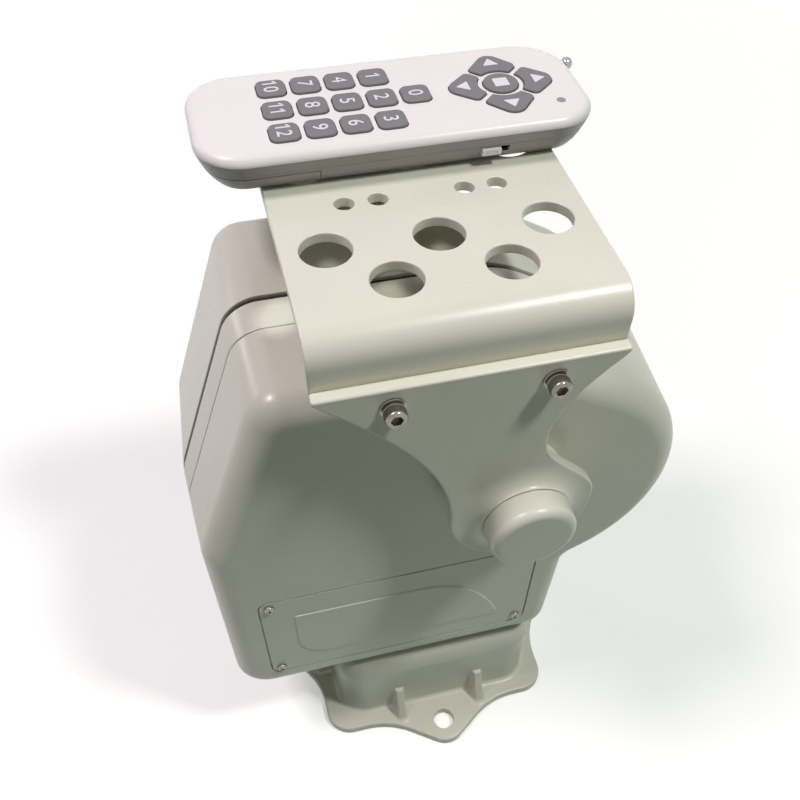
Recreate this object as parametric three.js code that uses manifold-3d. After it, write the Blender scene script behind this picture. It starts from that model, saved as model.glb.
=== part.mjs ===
// Remote pan tilt head with its radio handset lying on the platform.
// Millimetres, +Z up. The origin is on the pan axis, in the middle of the base's underside.
// +X runs along the platform's rows of holes, and the access plate faces -Y.

import * as THREE from 'three';
import { mergeVertices } from 'three/addons/utils/BufferGeometryUtils.js';
import Module from 'manifold-3d';

const wasm = await Module();
wasm.setup();

// Clearances and overruns shared by all pieces
const seatGap = 0.3;
const runningGap = 1.5;
const cutOverrun = 5;
const collapsedSpacing = 0.03;

// How many sides the round forms are drawn with
const roundSides = 20;
const holeSides = 16;
const boltSides = 10;
const pinSides = 8;

// Base casting
const pedestalHeight = 73;
const pedestalWidth = 144;
const pedestalCornerRadius = 20;
const pedestalShoulder = 15;
const baseWall = 6;
const flangeThickness = 7;
const flangeWidth = 168;
const flangeCornerRadius = 17;
const earHoleReach = 92.4;
const earHoleRadius = 7.5;
const earNoseRadius = 15;
const earSlopeShare = 0.72;
const earRootHalfWidth = 40;
const earRootRadius = 55;
const ribSpacing = 60;
const ribThickness = 6.5;
const ribHeight = 27;
const ribReach = 14;
const ribCrest = 1.5;
const bossRadius = 30;
const bossBoreFloor = 20;
const baseWebDepth = 48;

// Pan shaft, bearing and turntable
const panShaftRadius = 15;
const panCollarRadius = 21;
const panShaftTop = 118;
const panBearingWidth = 11;
const panBearingRadius = 27;
const turntableRadius = 56;
const turntableHubRadius = 34;
const turntableLip = 4;

// Turret body: two drafted shells, a centre frame and a gasket between them
const bodyLift = 5;
const bodyHeight = 275;
const bodyLeftReach = 141;
const bodyRightReach = 80;
const bodyHalfDepth = 71;
const shoulderInset = 42;
const shoulderDrop = 112;
const bodyTopLeftRadius = 22;
const bodyLeftRadius = 40;
const bodyLowerLeftRadius = 26;
const bodyLowerRightRadius = 20;
const bodyCrookRadius = 6;
const domeRadius = 87;
const domeOffsetX = 20;
const domeOffsetZ = 23;
const domeUpperAngle = THREE.MathUtils.degToRad(60);
const domeLowerAngle = THREE.MathUtils.degToRad(-66);
const domeShoulderRadius = 60;
const draftShare = 0.059;
const shellFillet = 14;
const shellWall = 4;
const frameDepth = 20;
const gasketThickness = 2.8;
const gasketRecess = 1.6;
const gasketWidth = 3.2;

// Tilt axis, seen from the pan axis and from the top of the body
const tiltAxisX = 29;
const tiltDrop = 85;

// Access plate in the front shell
const plateWidth = 172;
const plateHeight = 88;
const plateCentreX = -29;
const plateCentreRise = 68;
const plateThickness = 2.4;
const plateCornerRadius = 6;
const plateGap = 0.8;
const plateScrewInset = 6;
const ledgeWidth = 11;
const ledgeThickness = 4;
const panelRise = 0.8;
const panelLength = 134;
const panelHeight = 52;
const panelCentreX = -28.5;
const panelDrop = 2;
const panelTipLength = 56;
const panelTipLean = 18;
const panelHeelRadius = 24;
const accessScrewRadius = 1.5;
const accessHeadRadius = 3.2;
const accessHeadHeight = 2.2;
const accessHeadSkirt = { radius: 2.7, height: 1.5 };
const accessHeadCrown = 1.4;
const accessScrewLength = 6;
const screwClearance = 0.3;

// Worm drives
const gearModule = 2;
const panWheelTeeth = 34;
const tiltWheelTeeth = 36;
const wheelWidth = 12;
const wormPitchRadius = 9;
const wormTurns = 5;
const wormJournalRadius = 4;
const toothHalfWidthShare = 0.17;
const addendumShare = 0.85;
const dedendumShare = 1.2;
const pressureSlopeShare = 0.36;
const earThickness = 4;
const bracketPlate = 4;
const bracketReach = 11;
const motorRadius = 17;
const motorLength = 62;
const motorCapRadius = 12;
const motorCapLength = 6;
const motorPilotRadius = 12.5;
const panWheelRise = 25;
const tiltWheelDepth = 36;

// Tilt shaft, bearings, arms and caps
const tiltShaftRadius = 12;
const tiltBearingRadius = 20;
const tiltBearingWidth = 10;
const bearingBossWall = 6;
const bodySpigotRadius = 28;
const bodySpigotRise = 8;
const armThickness = 6.2;
const armHeight = 105.6;
const armEndHeight = 3;
const armLobeRadius = 38.5;
const armWaistX = 6;
const armWaistZ = 54;
const armWaistRadius = 25;
const armWaistTurn = THREE.MathUtils.degToRad(29);
const armLobeTurn = THREE.MathUtils.degToRad(8);
const armLobeLead = 13;
const armWaistLead = 15;
const armBossRadius = 24;
const armBossRise = 5.6;
const armBossFlare = 13;
const armSpigotRadius = 25;
const armFlareShare = 0.45;
const armSweepShare = 0.5;
const hubCapRadius = 23;
const hubCapLength = 15.2;
const hubCapWall = 3;
const hubCapEdge = 5;

// Platform
const platformWidth = 140;
const platformSetback = 33;
const platformRise = 130;
const sheetThickness = 5.3;
const sheetBendRadius = 15;
const legClearance = 10;
const legLength = 48;
const legTaperWidth = 22;
const legTaperHeight = 21;
const largeHoleRadius = 11.5;
const smallHoleRadius = 4.5;
const largeHolePitch = 50;
const innerRowReach = 30;
const outerRowReach = 55;
const smallHoleReaches = [20.2, 35.7];

// Screws that hold the arms to the platform's legs
const armScrewSpacing = 72.3;
const armScrewDrop = 35;
const armScrewRadius = 3;
const armScrewHeadRadius = 5;
const armScrewHeadHeight = 5.4;
const armWasherRadius = 6;
const armWasherThickness = 1.1;
const springWasherRadius = 4.7;
const springWasherThickness = 1.3;
const socketRadius = 2.9;
const socketDepth = 3;
const socketSides = 6;
const armScrewEnd = 2;

// Control board inside the front shell
const boardWidth = 96;
const boardHeight = 66;
const boardThickness = 1.6;
const boardStandOff = 11;
const boardLeftReach = 106;
const boardRise = 124;
const pillarRadius = 3.5;
const relayCount = 3;
const relaySize = { width: 15, height: 20, rise: 14, pitch: 24, above: 7 };
const terminalSize = { width: 66, height: 8, rise: 9, below: 24 };

// Handset
const handsetLength = 189;
const handsetWidth = 72;
const handsetHeight = 20;
const handsetX = -6;
const handsetY = 47;
const handsetPartingZ = 10;
const handsetTailRadius = 22;
const handsetNoseRadius = 27;
const handsetWall = 2.2;
const handsetRim = 5;
const handsetBoardThickness = 1.6;
const keyPitchX = 16.15;
const keyPitchY = 18.7;
const keyWidth = 13.4;
const keyHeight = 13.8;
const keyCornerRadius = 3.4;
const keyRise = 1.2;
const keyDepth = 4;
const keyBevel = 0.8;
const keyGap = 0.35;
const keypadStartX = -54;
const navX = 52.4;
const navReach = 26.5;
const navGap = 1.9;
const navCornerRadius = 2.7;
const navNoseRadius = 4.8;
const stopKeyRadius = 8.4;
const ledX = 75.5;
const ledY = -20.5;
const ledRadius = 1.9;
const switchX = 38.5;
const switchZ = 7.2;
const switchLength = 9.5;
const switchHeight = 3.2;
const switchTravel = 4;
const switchProud = 0.9;
const antennaY = 22;
const antennaZ = 13.6;
const antennaRadius = 1.4;
const antennaNeckRadius = 1.2;
const antennaStartX = 30;
const antennaTipRadius = 3;
const antennaTipProud = 3.5;
const doorEndX = -41;
const doorHeight = 8;
const doorGap = 0.35;

// Values worked out from the ones above
const bodyBottom = pedestalHeight + bodyLift;
const bodyTop = bodyBottom + bodyHeight;
const tiltAxisZ = bodyTop - tiltDrop;
const legInside = bodyHalfDepth + legClearance;
const legOutside = legInside + sheetThickness;
const armInside = legOutside + seatGap;
const armOutside = armInside + armThickness;
const armCentreX = -platformSetback;
const bearingSeat = bodyHalfDepth - shellWall;

// Flat outlines with rounded corners

function corner(x, y, radius = 0, segments = 0) {
  return { x, y, radius, segments };
}

// Corners run anticlockwise. A positive inset draws the whole outline inwards. A corner whose
// radius is used up keeps its count of points, so that outlines of one stack still match.
function roundedOutline(corners, inset = 0) {
  const count = corners.length;
  const edges = corners.map((start, i) => {
    const end = corners[(i + 1) % count];
    const along = new THREE.Vector2(end.x - start.x, end.y - start.y).normalize();
    const inward = new THREE.Vector2(-along.y, along.x);
    const point = new THREE.Vector2(start.x, start.y).addScaledVector(inward, inset);
    return { along, inward, point };
  });
  const points = [];
  corners.forEach((item, i) => {
    const before = edges[(i + count - 1) % count];
    const after = edges[i];
    const turn = Math.atan2(before.along.cross(after.along), before.along.dot(after.along));
    const meet = crossing(before, after);
    const side = Math.sign(turn);
    const radius = item.radius === 0 ? 0 : Math.max(item.radius - side * inset, 0);
    if (radius === 0) {
      for (let k = 0; k <= item.segments; k += 1) {
        points.push(meet.clone().addScaledVector(after.along, k * collapsedSpacing));
      }
      return;
    }
    const start = meet.clone().addScaledVector(before.along, -radius * Math.tan(Math.abs(turn) / 2));
    const centre = start.clone().addScaledVector(before.inward, side * radius);
    for (let k = 0; k <= item.segments; k += 1) {
      points.push(start.clone().rotateAround(centre, (turn * k) / item.segments));
    }
  });
  return points;
}

function crossing(lineA, lineB) {
  const gap = lineB.point.clone().sub(lineA.point);
  const along = gap.cross(lineB.along) / lineA.along.cross(lineB.along);
  return lineA.point.clone().addScaledVector(lineA.along, along);
}

function boxCorners(width, height, radius, segments, centreX = 0, centreY = 0) {
  const halfWidth = width / 2;
  const halfHeight = height / 2;
  return [
    corner(centreX - halfWidth, centreY - halfHeight, radius, segments),
    corner(centreX + halfWidth, centreY - halfHeight, radius, segments),
    corner(centreX + halfWidth, centreY + halfHeight, radius, segments),
    corner(centreX - halfWidth, centreY + halfHeight, radius, segments),
  ];
}

// Closed solids

// Merges shared vertices, drops collapsed triangles and turns the faces outwards.
function closed(geometry) {
  const bare = geometry.clone();
  bare.deleteAttribute('normal');
  bare.deleteAttribute('uv');
  const merged = mergeVertices(bare);
  const source = merged.index.array;
  const position = merged.attributes.position;
  const corners = [new THREE.Vector3(), new THREE.Vector3(), new THREE.Vector3()];
  const kept = [];
  let volume = 0;
  for (let i = 0; i < source.length; i += 3) {
    const [a, b, c] = [source[i], source[i + 1], source[i + 2]];
    if (a !== b && b !== c && c !== a) {
      kept.push(a, b, c);
      [a, b, c].forEach((vertex, k) => corners[k].fromBufferAttribute(position, vertex));
      volume += corners[0].dot(corners[1].clone().cross(corners[2]));
    }
  }
  if (volume < 0) {
    for (let i = 0; i < kept.length; i += 3) {
      [kept[i + 1], kept[i + 2]] = [kept[i + 2], kept[i + 1]];
    }
  }
  merged.setIndex(kept);
  return merged;
}

function toSolid(geometry) {
  const clean = closed(geometry);
  const vertProperties = Float32Array.from(clean.attributes.position.array);
  const triVerts = Uint32Array.from(clean.index.array);
  return new wasm.Manifold(new wasm.Mesh({ numProp: 3, vertProperties, triVerts }));
}

function toGeometry(solid) {
  const mesh = solid.getMesh();
  const geometry = new THREE.BufferGeometry();
  geometry.setAttribute('position', new THREE.BufferAttribute(Float32Array.from(mesh.vertProperties), 3));
  geometry.setIndex(Array.from(mesh.triVerts));
  return geometry;
}

function cut(geometry, ...tools) {
  return toGeometry(tools.reduce((solid, tool) => solid.subtract(toSolid(tool)), toSolid(geometry)));
}

function join(geometry, ...others) {
  return toGeometry(others.reduce((solid, other) => solid.add(toSolid(other)), toSolid(geometry)));
}

function common(geometry, other) {
  return toGeometry(toSolid(geometry).intersect(toSolid(other)));
}

// Skins a stack of alike outlines. Each section is { points, level }, levelled along Z.
function loft(sections) {
  const count = sections[0].points.length;
  const last = sections.length - 1;
  const positions = [];
  const index = [];
  sections.forEach(({ points, level }, row) => {
    points.forEach((point, i) => {
      positions.push(point.x, point.y, level);
      if (row < last) {
        const here = row * count + i;
        const next = row * count + ((i + 1) % count);
        index.push(here, next, next + count, here, next + count, here + count);
      }
    });
  });
  const lower = THREE.ShapeUtils.triangulateShape(sections[0].points, []);
  const upper = THREE.ShapeUtils.triangulateShape(sections[last].points, []);
  lower.forEach(([a, b, c]) => index.push(c, b, a));
  upper.forEach((face) => index.push(...face.map((vertex) => vertex + last * count)));
  const geometry = new THREE.BufferGeometry();
  geometry.setAttribute('position', new THREE.Float32BufferAttribute(positions, 3));
  geometry.setIndex(index);
  return geometry;
}

function prism(points, bottom, top) {
  return loft([{ points, level: bottom }, { points, level: top }]);
}

function block(width, depth, bottom, top, x = 0, y = 0) {
  return new THREE.BoxGeometry(width, depth, top - bottom).translate(x, y, (bottom + top) / 2);
}

function disc(radius, bottom, top, segments = roundSides, x = 0, y = 0) {
  const geometry = new THREE.CylinderGeometry(radius, radius, top - bottom, segments);
  return geometry.rotateX(Math.PI / 2).translate(x, y, (bottom + top) / 2);
}

// Turns a [radius, level] profile about Z.
function turned(profile, segments = roundSides) {
  const points = profile.map(([radius, level]) => new THREE.Vector2(radius, level));
  return new THREE.LatheGeometry(points, segments).rotateX(Math.PI / 2);
}

// Stands a piece drawn along Z on the Y axis, with its outline's up direction kept on Z.
function alongY(geometry) {
  return geometry.rotateX(Math.PI / 2);
}

function alongX(geometry) {
  return geometry.rotateY(Math.PI / 2);
}

function piece(name, geometry, finish) {
  const mesh = new THREE.Mesh(closed(geometry), finish());
  mesh.geometry.computeVertexNormals();
  mesh.name = name;
  return mesh;
}

function group(x, y, z, ...children) {
  const holder = new THREE.Group();
  holder.position.set(x, y, z);
  holder.add(...children);
  return holder;
}

// Finishes
const finish = (color, roughness, metalness) => () =>
  new THREE.MeshStandardMaterial({ color, roughness, metalness, flatShading: true });
const powderCoat = finish(0xdedccf, 0.55, 0);
const stainless = finish(0xb9b6ae, 0.28, 1);
const groundSteel = finish(0x8d9196, 0.35, 1);
const bronze = finish(0xa9834a, 0.4, 1);
const darkRubber = finish(0x2b2723, 0.85, 0);
const motorPaint = finish(0x3b3e42, 0.5, 0.3);
const boardGreen = finish(0x2c5b3d, 0.5, 0);
const handsetWhite = finish(0xe4dfe2, 0.45, 0);
const keyGrey = finish(0x727076, 0.6, 0);
const chrome = finish(0xcfd0d2, 0.12, 1);
const lens = finish(0x8d8a90, 0.3, 0);

// Base

function flangeOutline(inset = 0) {
  const half = flangeWidth / 2;
  const noseReach = half + earRootHalfWidth * earSlopeShare;
  const side = [
    corner(-half, -half, flangeCornerRadius, 4),
    corner(-earRootHalfWidth, -half, earRootRadius, 2),
    corner(0, -noseReach, earNoseRadius, 4),
    corner(earRootHalfWidth, -half, earRootRadius, 2),
  ];
  const centre = new THREE.Vector2();
  const corners = [0, 1, 2, 3].flatMap((quarter) => side.map((item) => {
    const place = new THREE.Vector2(item.x, item.y).rotateAround(centre, quarter * (Math.PI / 2));
    return corner(place.x, place.y, item.radius, item.segments);
  }));
  return roundedOutline(corners, inset);
}

function pedestalSection(level, inset) {
  const corners = boxCorners(pedestalWidth, pedestalWidth, pedestalCornerRadius, 3);
  return { points: roundedOutline(corners, inset), level };
}

// Levels and insets of an edge that rounds over from a wall to a flat top.
function roundOver(radius, steps) {
  return Array.from({ length: steps + 1 }, (_, k) => {
    const angle = (k / steps) * (Math.PI / 2);
    return { inset: radius * (1 - Math.cos(angle)), fall: radius * (1 - Math.sin(angle)) };
  });
}

function baseCasting() {
  const shoulder = roundOver(pedestalShoulder, 3);
  const pedestal = loft([
    pedestalSection(0, 0),
    ...shoulder.map(({ inset, fall }) => pedestalSection(pedestalHeight - fall, inset)),
  ]);
  const flange = prism(flangeOutline(), 0, flangeThickness);
  const cavityTop = pedestalHeight - baseWall;
  const cavity = loft([
    pedestalSection(-cutOverrun, baseWall),
    pedestalSection(pedestalHeight - pedestalShoulder, baseWall),
    pedestalSection(cavityTop, pedestalShoulder),
  ]);
  const webFoot = pedestalHeight - baseWebDepth;
  const webs = [0, 1].map((turn) => block(pedestalWidth, baseWall, webFoot, pedestalHeight)
    .rotateZ(turn * (Math.PI / 2)));
  const hollow = cut(cavity, disc(bossRadius, -cutOverrun, pedestalHeight, holeSides), ...webs);
  const ribs = [];
  const holes = [];
  for (let quarter = 0; quarter < 4; quarter += 1) {
    const angle = quarter * (Math.PI / 2);
    [-1, 1].forEach((side) => ribs.push(baseRib().translate(side * (ribSpacing / 2), 0, 0).rotateZ(angle)));
    const hole = disc(earHoleRadius, -cutOverrun, flangeThickness + cutOverrun, holeSides, 0, -earHoleReach);
    holes.push(hole.rotateZ(angle));
  }
  const bore = disc(panShaftRadius + seatGap, bossBoreFloor, pedestalHeight + cutOverrun, holeSides);
  return cut(join(flange, pedestal, ...ribs), hollow, bore, ...holes);
}

// A triangular web on the -Y side between the pedestal's wall and the flange.
function baseRib() {
  const wall = -pedestalWidth / 2;
  const outline = [
    new THREE.Vector2(wall + baseWall / 2, flangeThickness / 2),
    new THREE.Vector2(wall + baseWall / 2, flangeThickness + ribHeight),
    new THREE.Vector2(wall - ribCrest, flangeThickness + ribHeight),
    new THREE.Vector2(wall - ribReach, flangeThickness / 2),
  ];
  const rib = prism(outline, -ribThickness / 2, ribThickness / 2);
  return rib.rotateX(Math.PI / 2).rotateZ(Math.PI / 2);
}

function panShaft() {
  const collarFoot = pedestalHeight + seatGap;
  const collarTop = collarFoot + bodyLift - runningGap;
  return turned([
    [0, bossBoreFloor + seatGap],
    [panShaftRadius, bossBoreFloor + seatGap],
    [panShaftRadius, collarFoot],
    [panCollarRadius, collarFoot],
    [panCollarRadius, collarTop],
    [panShaftRadius, collarTop],
    [panShaftRadius, panShaftTop],
    [0, panShaftTop],
  ], holeSides);
}

function ring(innerRadius, outerRadius, bottom, top, segments = holeSides) {
  return turned([
    [innerRadius, bottom],
    [outerRadius, bottom],
    [outerRadius, top],
    [innerRadius, top],
    [innerRadius, bottom],
  ], segments);
}

// Turret

const panBearingFoot = pedestalHeight + bodyLift - runningGap + 2 * seatGap;

function turntable() {
  const foot = pedestalHeight + runningGap;
  const faceTop = bodyBottom - seatGap;
  const boreRadius = panBearingRadius + seatGap;
  const lipFoot = panBearingFoot + panBearingWidth + seatGap;
  const lipRadius = panShaftRadius + runningGap;
  return turned([
    [boreRadius, foot],
    [turntableRadius, foot],
    [turntableRadius, faceTop],
    [turntableHubRadius, faceTop],
    [turntableHubRadius, lipFoot + turntableLip],
    [lipRadius, lipFoot + turntableLip],
    [lipRadius, lipFoot],
    [boreRadius, lipFoot],
    [boreRadius, foot],
  ], holeSides);
}

// The body's outline in X and Z, as seen from the front at the joint between the shells.
function bodyCorners() {
  const dome = new THREE.Vector2(tiltAxisX + domeOffsetX, tiltAxisZ - domeOffsetZ);
  const tangent = (angle) => {
    const outward = new THREE.Vector2(Math.cos(angle), Math.sin(angle));
    const along = new THREE.Vector2(-outward.y, outward.x);
    return { point: dome.clone().addScaledVector(outward, domeRadius), along };
  };
  const topLine = { point: new THREE.Vector2(0, bodyTop), along: new THREE.Vector2(-1, 0) };
  const rightLine = { point: new THREE.Vector2(bodyRightReach, 0), along: new THREE.Vector2(0, 1) };
  const domeMeet = crossing(tangent(domeLowerAngle), tangent(domeUpperAngle));
  const crook = crossing(rightLine, tangent(domeLowerAngle));
  const brow = crossing(tangent(domeUpperAngle), topLine);
  return [
    corner(-bodyLeftReach, bodyBottom, bodyLowerLeftRadius, 4),
    corner(bodyRightReach, bodyBottom, bodyLowerRightRadius, 4),
    corner(crook.x, crook.y, bodyCrookRadius, 2),
    corner(domeMeet.x, domeMeet.y, domeRadius, 10),
    corner(brow.x, brow.y, domeShoulderRadius, 2),
    corner(shoulderInset - bodyLeftReach, bodyTop, bodyTopLeftRadius, 4),
    corner(-bodyLeftReach, bodyTop - shoulderDrop, bodyLeftRadius, 2),
  ];
}

// A slice of the body's form, drawn with its depth along Z: the wall leans in by the draft.
function bodySection(depth, inset) {
  return { points: roundedOutline(bodyCorners(), inset + draftShare * depth), level: depth };
}

function bodyForm(wall, nearDepth, farDepth, fillet, steps) {
  const crown = roundOver(fillet, steps).map(({ inset, fall }) => bodySection(farDepth - fall, wall + inset));
  return loft([bodySection(nearDepth, wall), ...crown]);
}

// One shell half as a cup, open at the joint, drawn with its depth along Z.
function shellCup(nearDepth) {
  const outer = bodyForm(0, nearDepth, bodyHalfDepth, shellFillet, 3);
  const inner = bodyForm(shellWall, nearDepth - cutOverrun, bearingSeat, shellFillet - shellWall, 2);
  const pocket = tiltBearingRadius + seatGap;
  const innerFace = bearingSeat - tiltBearingWidth;
  const onAxis = (radius, bottom, top) => disc(radius, bottom, top, holeSides, tiltAxisX, tiltAxisZ);
  const boss = onAxis(pocket + bearingBossWall, innerFace, bodyHalfDepth - shellWall / 2);
  const spigot = onAxis(bodySpigotRadius, bearingSeat, bodyHalfDepth + bodySpigotRise);
  const seat = onAxis(pocket, innerFace - cutOverrun, bearingSeat);
  const bore = onAxis(tiltShaftRadius + runningGap, 0, bodyHalfDepth + 2 * bodySpigotRise);
  return cut(join(cut(outer, inner), boss, spigot), seat, bore);
}

function hubOpening() {
  return disc(turntableHubRadius + seatGap, 0, bodyBottom + 2 * shellFillet, holeSides);
}

function rearShell() {
  const cup = alongY(shellCup(gasketThickness / 2 + seatGap)).scale(1, -1, 1);
  return cut(closed(cup), hubOpening());
}

const plateCorners = (grow) => boxCorners(
  plateWidth + 2 * grow,
  plateHeight + 2 * grow,
  Math.max(plateCornerRadius + grow, plateCornerRadius / 4),
  3,
  plateCentreX,
  bodyBottom + plateCentreRise,
);

const plateScrewPlaces = [-1, 1].flatMap((sideZ) => [-1, 1].map((sideX) => ({
  x: plateCentreX + sideX * (plateWidth / 2 - plateScrewInset),
  z: bodyBottom + plateCentreRise + sideZ * (plateHeight / 2 - plateScrewInset),
})));

const boardCentreX = boardWidth / 2 - boardLeftReach;
const boardCentreZ = bodyBottom + boardRise + boardHeight / 2;
const boardHolePlaces = [-1, 1].flatMap((sideZ) => [-1, 1].map((sideX) => ({
  x: boardCentreX + sideX * (boardWidth / 2 - 2 * pillarRadius),
  z: boardCentreZ + sideZ * (boardHeight / 2 - 2 * pillarRadius),
})));

function frontShell() {
  const recessFloor = bodyHalfDepth - plateThickness - seatGap;
  const ledgeFloor = bodyHalfDepth - shellWall - ledgeThickness;
  const windowCorners = boxCorners(
    plateWidth - 2 * ledgeWidth,
    plateHeight - 2 * ledgeWidth,
    plateCornerRadius,
    3,
    plateCentreX,
    bodyBottom + plateCentreRise,
  );
  const frame = prism(roundedOutline(plateCorners(0)), ledgeFloor, recessFloor);
  const recess = prism(roundedOutline(plateCorners(plateGap)), recessFloor, bodyHalfDepth + cutOverrun);
  const window = prism(roundedOutline(windowCorners), 0, bodyHalfDepth);
  const holes = plateScrewPlaces.map(({ x, z }) =>
    disc(accessScrewRadius + screwClearance, ledgeFloor - cutOverrun, bodyHalfDepth, pinSides, x, z));
  const pillars = boardHolePlaces.map(({ x, z }) =>
    disc(pillarRadius, bearingSeat - boardStandOff, bodyHalfDepth - shellWall / 2, pinSides, x, z));
  const cup = join(shellCup(frameDepth + seatGap), frame, ...pillars);
  const shell = cut(cup, recess, window, ...holes);
  return cut(closed(alongY(shell)), hubOpening());
}

function centreFrame() {
  const near = gasketThickness / 2 + seatGap;
  const outer = loft([bodySection(near, 0), bodySection(frameDepth, 0)]);
  const inner = loft([
    bodySection(near - cutOverrun, shellWall),
    bodySection(frameDepth + cutOverrun, shellWall),
  ]);
  return cut(closed(alongY(cut(outer, inner))), hubOpening());
}

function bodyGasket() {
  const half = gasketThickness / 2;
  const section = (level, inset) => ({ points: roundedOutline(bodyCorners(), inset), level });
  const outer = loft([section(-half, gasketRecess), section(half, gasketRecess)]);
  const innerInset = gasketRecess + gasketWidth;
  const inner = loft([section(-half - cutOverrun, innerInset), section(half + cutOverrun, innerInset)]);
  return cut(closed(alongY(cut(outer, inner))), hubOpening());
}

// The access plate carries a low raised panel: square at one end, a swept curve at the other.
function accessPlate() {
  const plate = prism(roundedOutline(plateCorners(0)), 0, plateThickness);
  const holes = plateScrewPlaces.map(({ x, z }) =>
    disc(accessScrewRadius + screwClearance, -cutOverrun, plateThickness + cutOverrun, pinSides, x, z));
  const panel = prism(panelOutline(), plateThickness / 2, plateThickness + panelRise);
  return cut(join(plate, panel), ...holes);
}

function panelOutline() {
  const centreZ = bodyBottom + plateCentreRise - panelDrop;
  const left = panelCentreX - panelLength / 2;
  const right = panelCentreX + panelLength / 2;
  const top = centreZ + panelHeight / 2;
  const bottom = centreZ - panelHeight / 2;
  const path = new THREE.Path();
  path.moveTo(left + panelHeelRadius, bottom);
  path.lineTo(right, bottom);
  path.quadraticCurveTo(right - panelTipLean, top, right - panelTipLength, top);
  path.lineTo(left, top);
  path.lineTo(left, bottom + panelHeelRadius);
  path.quadraticCurveTo(left, bottom, left + panelHeelRadius, bottom);
  return path.getPoints(6).slice(0, -1);
}

function accessScrew() {
  return turned([
    [0, -accessScrewLength],
    [accessScrewRadius, -accessScrewLength],
    [accessScrewRadius, 0],
    [accessHeadRadius, 0],
    [accessHeadSkirt.radius, accessHeadSkirt.height],
    [accessHeadCrown, accessHeadHeight],
    [0, accessHeadHeight],
  ], pinSides);
}

function controlBoard() {
  const board = block(boardWidth, boardHeight, 0, boardThickness);
  const strip = block(terminalSize.width, terminalSize.height, 0, terminalSize.rise, 0, -terminalSize.below);
  const firstRelay = -((relayCount - 1) / 2) * relaySize.pitch;
  const relays = Array.from({ length: relayCount }, (_, k) => {
    const x = firstRelay + k * relaySize.pitch;
    return block(relaySize.width, relaySize.height, 0, relaySize.rise, x, relaySize.above);
  });
  return join(board, strip, ...relays);
}

// Worm drives, drawn with the wheel's axis on Z, its middle at the origin and the worm at +Y

function wormDrive(teeth) {
  const wheelRadius = (gearModule * teeth) / 2;
  const pitch = Math.PI * gearModule;
  const centreDistance = wheelRadius + wormPitchRadius;
  const halfLength = (pitch * wormTurns) / 2;
  const earInside = halfLength + runningGap;
  return { teeth, wheelRadius, pitch, centreDistance, halfLength, earInside };
}

const panDrive = wormDrive(panWheelTeeth);
const tiltDrive = wormDrive(tiltWheelTeeth);

function wormWheel({ teeth, wheelRadius, pitch }, boreRadius) {
  const halfWidth = pitch * toothHalfWidthShare;
  const tipRadius = wheelRadius + gearModule * addendumShare;
  const rootRadius = wheelRadius - gearModule * dedendumShare;
  const slope = pressureSlopeShare;
  const flank = (radius) => (halfWidth - (radius - wheelRadius) * slope) / radius;
  const outline = [];
  for (let k = 0; k < teeth; k += 1) {
    const middle = Math.PI / 2 + (k / teeth) * (2 * Math.PI);
    [[rootRadius, -1], [tipRadius, -1], [tipRadius, 1], [rootRadius, 1]].forEach(([radius, side]) => {
      const angle = middle + side * flank(radius);
      outline.push(new THREE.Vector2(radius * Math.cos(angle), radius * Math.sin(angle)));
    });
  }
  const leadSlope = pitch / (2 * Math.PI * wormPitchRadius);
  const twist = (level) => (leadSlope * level) / wheelRadius;
  const section = (level) => ({
    points: outline.map((point) => point.clone().rotateAround(new THREE.Vector2(), twist(level))),
    level,
  });
  const blank = loft([section(-wheelWidth / 2), section(wheelWidth / 2)]);
  return cut(blank, disc(boreRadius + seatGap, -wheelWidth, wheelWidth, holeSides));
}

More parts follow.
